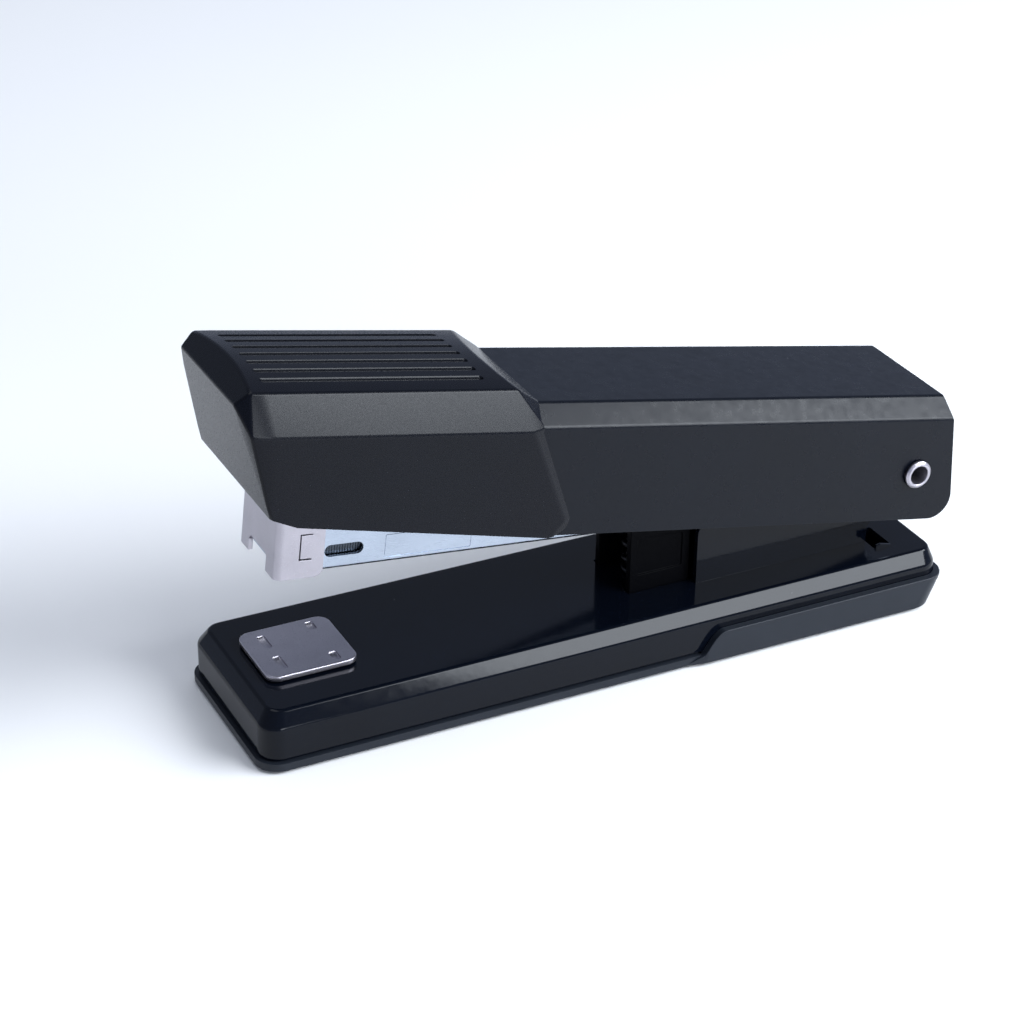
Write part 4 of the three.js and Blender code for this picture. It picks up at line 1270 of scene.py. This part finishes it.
def build_camera(studio):
    """Camera at the chosen place, turned about its view by the roll."""
    data = bpy.data.cameras.new("camera")
    data.lens = studio.lens
    data.sensor_width = 36
    data.clip_start = 0.01
    camera = bpy.data.objects.new("camera", data)
    bpy.context.scene.collection.objects.link(camera)
    at, target = Vector(studio.camera_at), Vector(studio.camera_aim)
    look = (target - at).to_track_quat("-Z", "Y").to_matrix().to_4x4()
    camera.matrix_world = Matrix.Translation(at) @ look @ Matrix.Rotation(studio.camera_roll, 4, "Z")
    bpy.context.scene.camera = camera
    bpy.context.scene.view_settings.view_transform = "Standard"


def build_surroundings(studio):
    """Bluish surroundings, darker overhead than at the horizon."""
    world = bpy.data.worlds.new("studio")
    bpy.context.scene.world = world
    world.use_nodes = True
    nodes, links = world.node_tree.nodes, world.node_tree.links
    background = nodes["Background"]
    coordinates = nodes.new("ShaderNodeTexCoord")
    split = nodes.new("ShaderNodeSeparateXYZ")
    links.new(coordinates.outputs["Generated"], split.inputs["Vector"])
    ramp = nodes.new("ShaderNodeValToRGB")
    ramp.color_ramp.elements[0].position = 0.0
    ramp.color_ramp.elements[0].color = (*studio.horizon, 1)
    ramp.color_ramp.elements[1].position = 1.0
    ramp.color_ramp.elements[1].color = (*studio.zenith, 1)
    links.new(split.outputs["Z"], ramp.inputs["Fac"])
    links.new(ramp.outputs["Color"], background.inputs["Color"])
    background.inputs["Strength"].default_value = studio.surroundings


def build_stage(studio):
    """Plain pale floor, three softboxes, the surroundings and the camera."""
    radius, thickness, gap = 2500, 20, 0.05
    floor = prism(circle(0, 0, radius, 96), "Z", -thickness, -gap)
    floor.name = "floor"
    floor.data.transform(Matrix.Scale(MM, 4))
    floor.data.materials.append(plain_surface("floor_paper", studio.floor, 0.6))
    centre = (0, 0, 0.04)
    area_light("front_softbox", (0.62, -0.55, 0.60), centre, 0.84, 0.46, studio.front)
    area_light("low_softbox", (0.06, -1.2, 0.34), centre, 0.5, 0.3, studio.low)
    area_light("overhead_softbox", (-0.10, 0.25, 1.3), centre, 1.4, 0.8, studio.overhead)
    build_surroundings(studio)
    build_camera(studio)


# ---------------------------------------------------------------- settings


def colour_property(name, description, default):
    return FloatVectorProperty(
        name=name, description=description, default=default, subtype="COLOR", min=0, max=1
    )


def length_property(name, description, millimetres):
    return FloatProperty(
        name=name, description=description, default=millimetres * MM, unit="LENGTH", min=0, precision=5
    )


def power_property(name, description, watts):
    return FloatProperty(name=name, description=description, default=watts, unit="POWER", min=0)


class StaplerSizes(bpy.types.PropertyGroup):
    """Sizes of the stapler's pieces"""

    handle_tilt: FloatProperty(
        name="Handle tilt",
        description="Angle of the handle at rest",
        default=math.radians(10.9),
        unit="ROTATION",
    )
    cover_sheet: length_property("Cover sheet", "Thickness of the cover's steel", 1.0)
    cover_bend: length_property("Cover bend", "Outer radius of the cover's folds", 1.3)
    cap_edge: length_property("Cap edge", "Rounding of the cap's facets", 0.5)
    cap_crown: length_property("Cap crown", "Rise of the cap's top in the middle", 1.25)
    groove_count: IntProperty(name="Grooves", description="Finger grooves on the cap", default=7, min=0)
    groove_pitch: length_property("Groove pitch", "Distance between finger grooves", 3.3)
    groove_width: length_property("Groove width", "Width of a finger groove", 1.1)
    groove_depth: length_property("Groove depth", "Depth of a finger groove", 0.8)
    blade_sheet: length_property("Blade", "Thickness of the driver blade", 0.5)
    channel_sheet: length_property("Channel sheet", "Thickness of the staple channel", 0.75)
    rail_sheet: length_property("Rail sheet", "Thickness of the staple rail", 0.6)
    nose_bend: length_property("Nose bend", "Radius of the nose piece's front corners", 1.5)
    staple_gauge: length_property("Staple gauge", "Thickness of the staple wire", 0.5)
    staple_count: IntProperty(name="Staples", description="Staples in the strip", default=50, min=1)
    base_sheet: length_property("Base sheet", "Thickness of the base plate", 1.2)
    base_bend: length_property("Base bend", "Outer radius of the base's folds", 1.2)


class StaplerColours(bpy.types.PropertyGroup):
    """Colours of the stapler's materials"""

    paint: colour_property("Enamel", "Black enamel on the cover and base", (0.0016, 0.0026, 0.0056))
    cap: colour_property("Cap", "Moulded nose cap", (0.0012, 0.0018, 0.0042))
    shell: colour_property("Shell", "Moulded base shell", (0.012, 0.015, 0.021))
    bracket: colour_property("Bracket", "Moulded stop bracket", (0.0012, 0.0013, 0.002))
    nickel: colour_property("Nickel", "Nose piece, anvil and hinge rivet", (0.43, 0.41, 0.45))
    zinc: colour_property("Zinc", "Magazine and small steel pieces", (0.40, 0.45, 0.53))
    spring: colour_property("Spring steel", "Springs and driver blade", (0.30, 0.30, 0.32))
    staple: colour_property("Staples", "Galvanised staple wire", (0.06, 0.07, 0.085))
    rubber: colour_property("Rubber", "Foot pads", (0.010, 0.010, 0.011))
    nylon: colour_property("Nylon", "Hinge bushes", (0.60, 0.58, 0.52))
    dust: FloatProperty(
        name="Dust", description="Share of the dust specks that show", default=0.12, min=0, max=1
    )


class StaplerStudio(bpy.types.PropertyGroup):
    """Camera, lights and floor"""

    camera_at: FloatVectorProperty(
        name="Camera",
        description="Place of the camera",
        default=(-0.20914, -0.38377, 0.26797),
        subtype="XYZ",
        unit="LENGTH",
    )
    camera_aim: FloatVectorProperty(
        name="Aim",
        description="Point the camera looks at",
        default=(-0.01493, 0.0, 0.03127),
        subtype="XYZ",
        unit="LENGTH",
    )
    camera_roll: FloatProperty(
        name="Roll",
        description="Turn of the camera about its view",
        default=math.radians(0.86),
        unit="ROTATION",
    )
    light_colour: colour_property("Light", "Colour of the softboxes", (0.88, 0.935, 1.0))
    lens: FloatProperty(name="Lens", description="Focal length", default=91.9, unit="CAMERA")
    floor: colour_property("Floor", "Colour of the floor", (0.94, 0.93, 0.92))
    horizon: colour_property("Horizon", "Surroundings at the horizon", (0.50, 0.58, 0.78))
    zenith: colour_property("Overhead", "Surroundings overhead", (0.24, 0.26, 0.31))
    surroundings: FloatProperty(
        name="Surroundings", description="Strength of the surroundings", default=0.72, min=0
    )
    front: power_property("Front light", "Power of the front softbox", 18)
    low: power_property("Low light", "Power of the low softbox", 4)
    overhead: power_property("Overhead light", "Power of the overhead softbox", 5.5)


# ---------------------------------------------------------------- operators


class STAPLER_OT_stage(bpy.types.Operator):
    """Adds the floor, lights and camera"""

    bl_idname = "stapler.stage"
    bl_label = "Studio"

    def execute(self, context):
        build_stage(context.scene.stapler_studio)
        return {"FINISHED"}


class STAPLER_OT_base_plate(bpy.types.Operator):
    """Builds the pressed steel base"""

    bl_idname = "stapler.base_plate"
    bl_label = "Base Plate"

    def execute(self, context):
        build_base_plate(context.scene.stapler_sizes)
        return {"FINISHED"}


class STAPLER_OT_base_shell(bpy.types.Operator):
    """Builds the moulded shell and boot"""

    bl_idname = "stapler.base_shell"
    bl_label = "Base Shell"

    def execute(self, context):
        build_base_shell()
        return {"FINISHED"}


class STAPLER_OT_feet(bpy.types.Operator):
    """Builds the rubber pads"""

    bl_idname = "stapler.feet"
    bl_label = "Feet"

    def execute(self, context):
        build_feet()
        return {"FINISHED"}


class STAPLER_OT_anvil(bpy.types.Operator):
    """Builds the turning anvil and its button"""

    bl_idname = "stapler.anvil"
    bl_label = "Anvil"

    def execute(self, context):
        build_anvil()
        return {"FINISHED"}


class STAPLER_OT_bracket(bpy.types.Operator):
    """Builds the moulded stop bracket"""

    bl_idname = "stapler.bracket"
    bl_label = "Stop Bracket"

    def execute(self, context):
        build_bracket()
        return {"FINISHED"}


class STAPLER_OT_channel(bpy.types.Operator):
    """Builds the plated staple channel"""

    bl_idname = "stapler.channel"
    bl_label = "Magazine Channel"

    def execute(self, context):
        build_channel(context.scene.stapler_sizes)
        return {"FINISHED"}


class STAPLER_OT_nose(bpy.types.Operator):
    """Builds the pressed nose piece"""

    bl_idname = "stapler.nose"
    bl_label = "Nose Piece"

    def execute(self, context):
        build_nose(context.scene.stapler_sizes)
        return {"FINISHED"}


class STAPLER_OT_rail(bpy.types.Operator):
    """Builds the staple rail"""

    bl_idname = "stapler.rail"
    bl_label = "Staple Rail"

    def execute(self, context):
        build_rail(context.scene.stapler_sizes)
        return {"FINISHED"}


class STAPLER_OT_staples(bpy.types.Operator):
    """Builds the staple strip"""

    bl_idname = "stapler.staples"
    bl_label = "Staples"

    def execute(self, context):
        build_staples(context.scene.stapler_sizes)
        return {"FINISHED"}


class STAPLER_OT_pusher(bpy.types.Operator):
    """Builds the strip pusher"""

    bl_idname = "stapler.pusher"
    bl_label = "Pusher"

    def execute(self, context):
        build_pusher()
        return {"FINISHED"}


class STAPLER_OT_cover(bpy.types.Operator):
    """Builds the folded steel cover"""

    bl_idname = "stapler.cover"
    bl_label = "Cover"

    def execute(self, context):
        build_cover(context.scene.stapler_sizes)
        return {"FINISHED"}


class STAPLER_OT_cap(bpy.types.Operator):
    """Builds the moulded nose cap"""

    bl_idname = "stapler.cap"
    bl_label = "Cap"

    def execute(self, context):
        build_cap(context.scene.stapler_sizes)
        return {"FINISHED"}


class STAPLER_OT_driver(bpy.types.Operator):
    """Builds the driver beam and blade"""

    bl_idname = "stapler.driver"
    bl_label = "Driver"

    def execute(self, context):
        build_driver(context.scene.stapler_sizes)
        return {"FINISHED"}


class STAPLER_OT_hinge(bpy.types.Operator):
    """Builds the hollow rivet and bushes"""

    bl_idname = "stapler.hinge"
    bl_label = "Hinge"

    def execute(self, context):
        build_hinge()
        return {"FINISHED"}


class STAPLER_OT_fasteners(bpy.types.Operator):
    """Builds the rivets and screws"""

    bl_idname = "stapler.fasteners"
    bl_label = "Fasteners"

    def execute(self, context):
        build_fasteners()
        return {"FINISHED"}


class STAPLER_OT_springs(bpy.types.Operator):
    """Builds the four springs"""

    bl_idname = "stapler.springs"
    bl_label = "Springs"

    def execute(self, context):
        build_springs()
        return {"FINISHED"}


STEPS = [
    STAPLER_OT_stage,
    STAPLER_OT_base_plate,
    STAPLER_OT_base_shell,
    STAPLER_OT_feet,
    STAPLER_OT_anvil,
    STAPLER_OT_bracket,
    STAPLER_OT_channel,
    STAPLER_OT_nose,
    STAPLER_OT_rail,
    STAPLER_OT_staples,
    STAPLER_OT_pusher,
    STAPLER_OT_cover,
    STAPLER_OT_cap,
    STAPLER_OT_driver,
    STAPLER_OT_hinge,
    STAPLER_OT_fasteners,
    STAPLER_OT_springs,
]


class STAPLER_PT_pieces(bpy.types.Panel):
    """Lists the steps that build the stapler"""

    bl_label = "Stapler"
    bl_idname = "STAPLER_PT_pieces"
    bl_space_type = "VIEW_3D"
    bl_region_type = "UI"
    bl_category = "Stapler"

    def draw(self, context):
        for step in STEPS:
            self.layout.operator(step.bl_idname)
        for group in ("stapler_sizes", "stapler_colours", "stapler_studio"):
            settings = getattr(context.scene, group)
            column = self.layout.column()
            for name in settings.__annotations__:
                column.prop(settings, name)


GROUPS = {
    "stapler_sizes": StaplerSizes,
    "stapler_colours": StaplerColours,
    "stapler_studio": StaplerStudio,
}


def register():
    for name, group in GROUPS.items():
        bpy.utils.register_class(group)
        setattr(bpy.types.Scene, name, PointerProperty(type=group))
    for step in STEPS:
        bpy.utils.register_class(step)
    bpy.utils.register_class(STAPLER_PT_pieces)


def unregister():
    bpy.utils.unregister_class(STAPLER_PT_pieces)
    for step in reversed(STEPS):
        bpy.utils.unregister_class(step)
    for name, group in reversed(GROUPS.items()):
        delattr(bpy.types.Scene, name)
        bpy.utils.unregister_class(group)


def main():
    register()
    for step in STEPS:
        group, name = step.bl_idname.split(".")
        getattr(getattr(bpy.ops, group), name)()


if __name__ == "__main__":
    main()
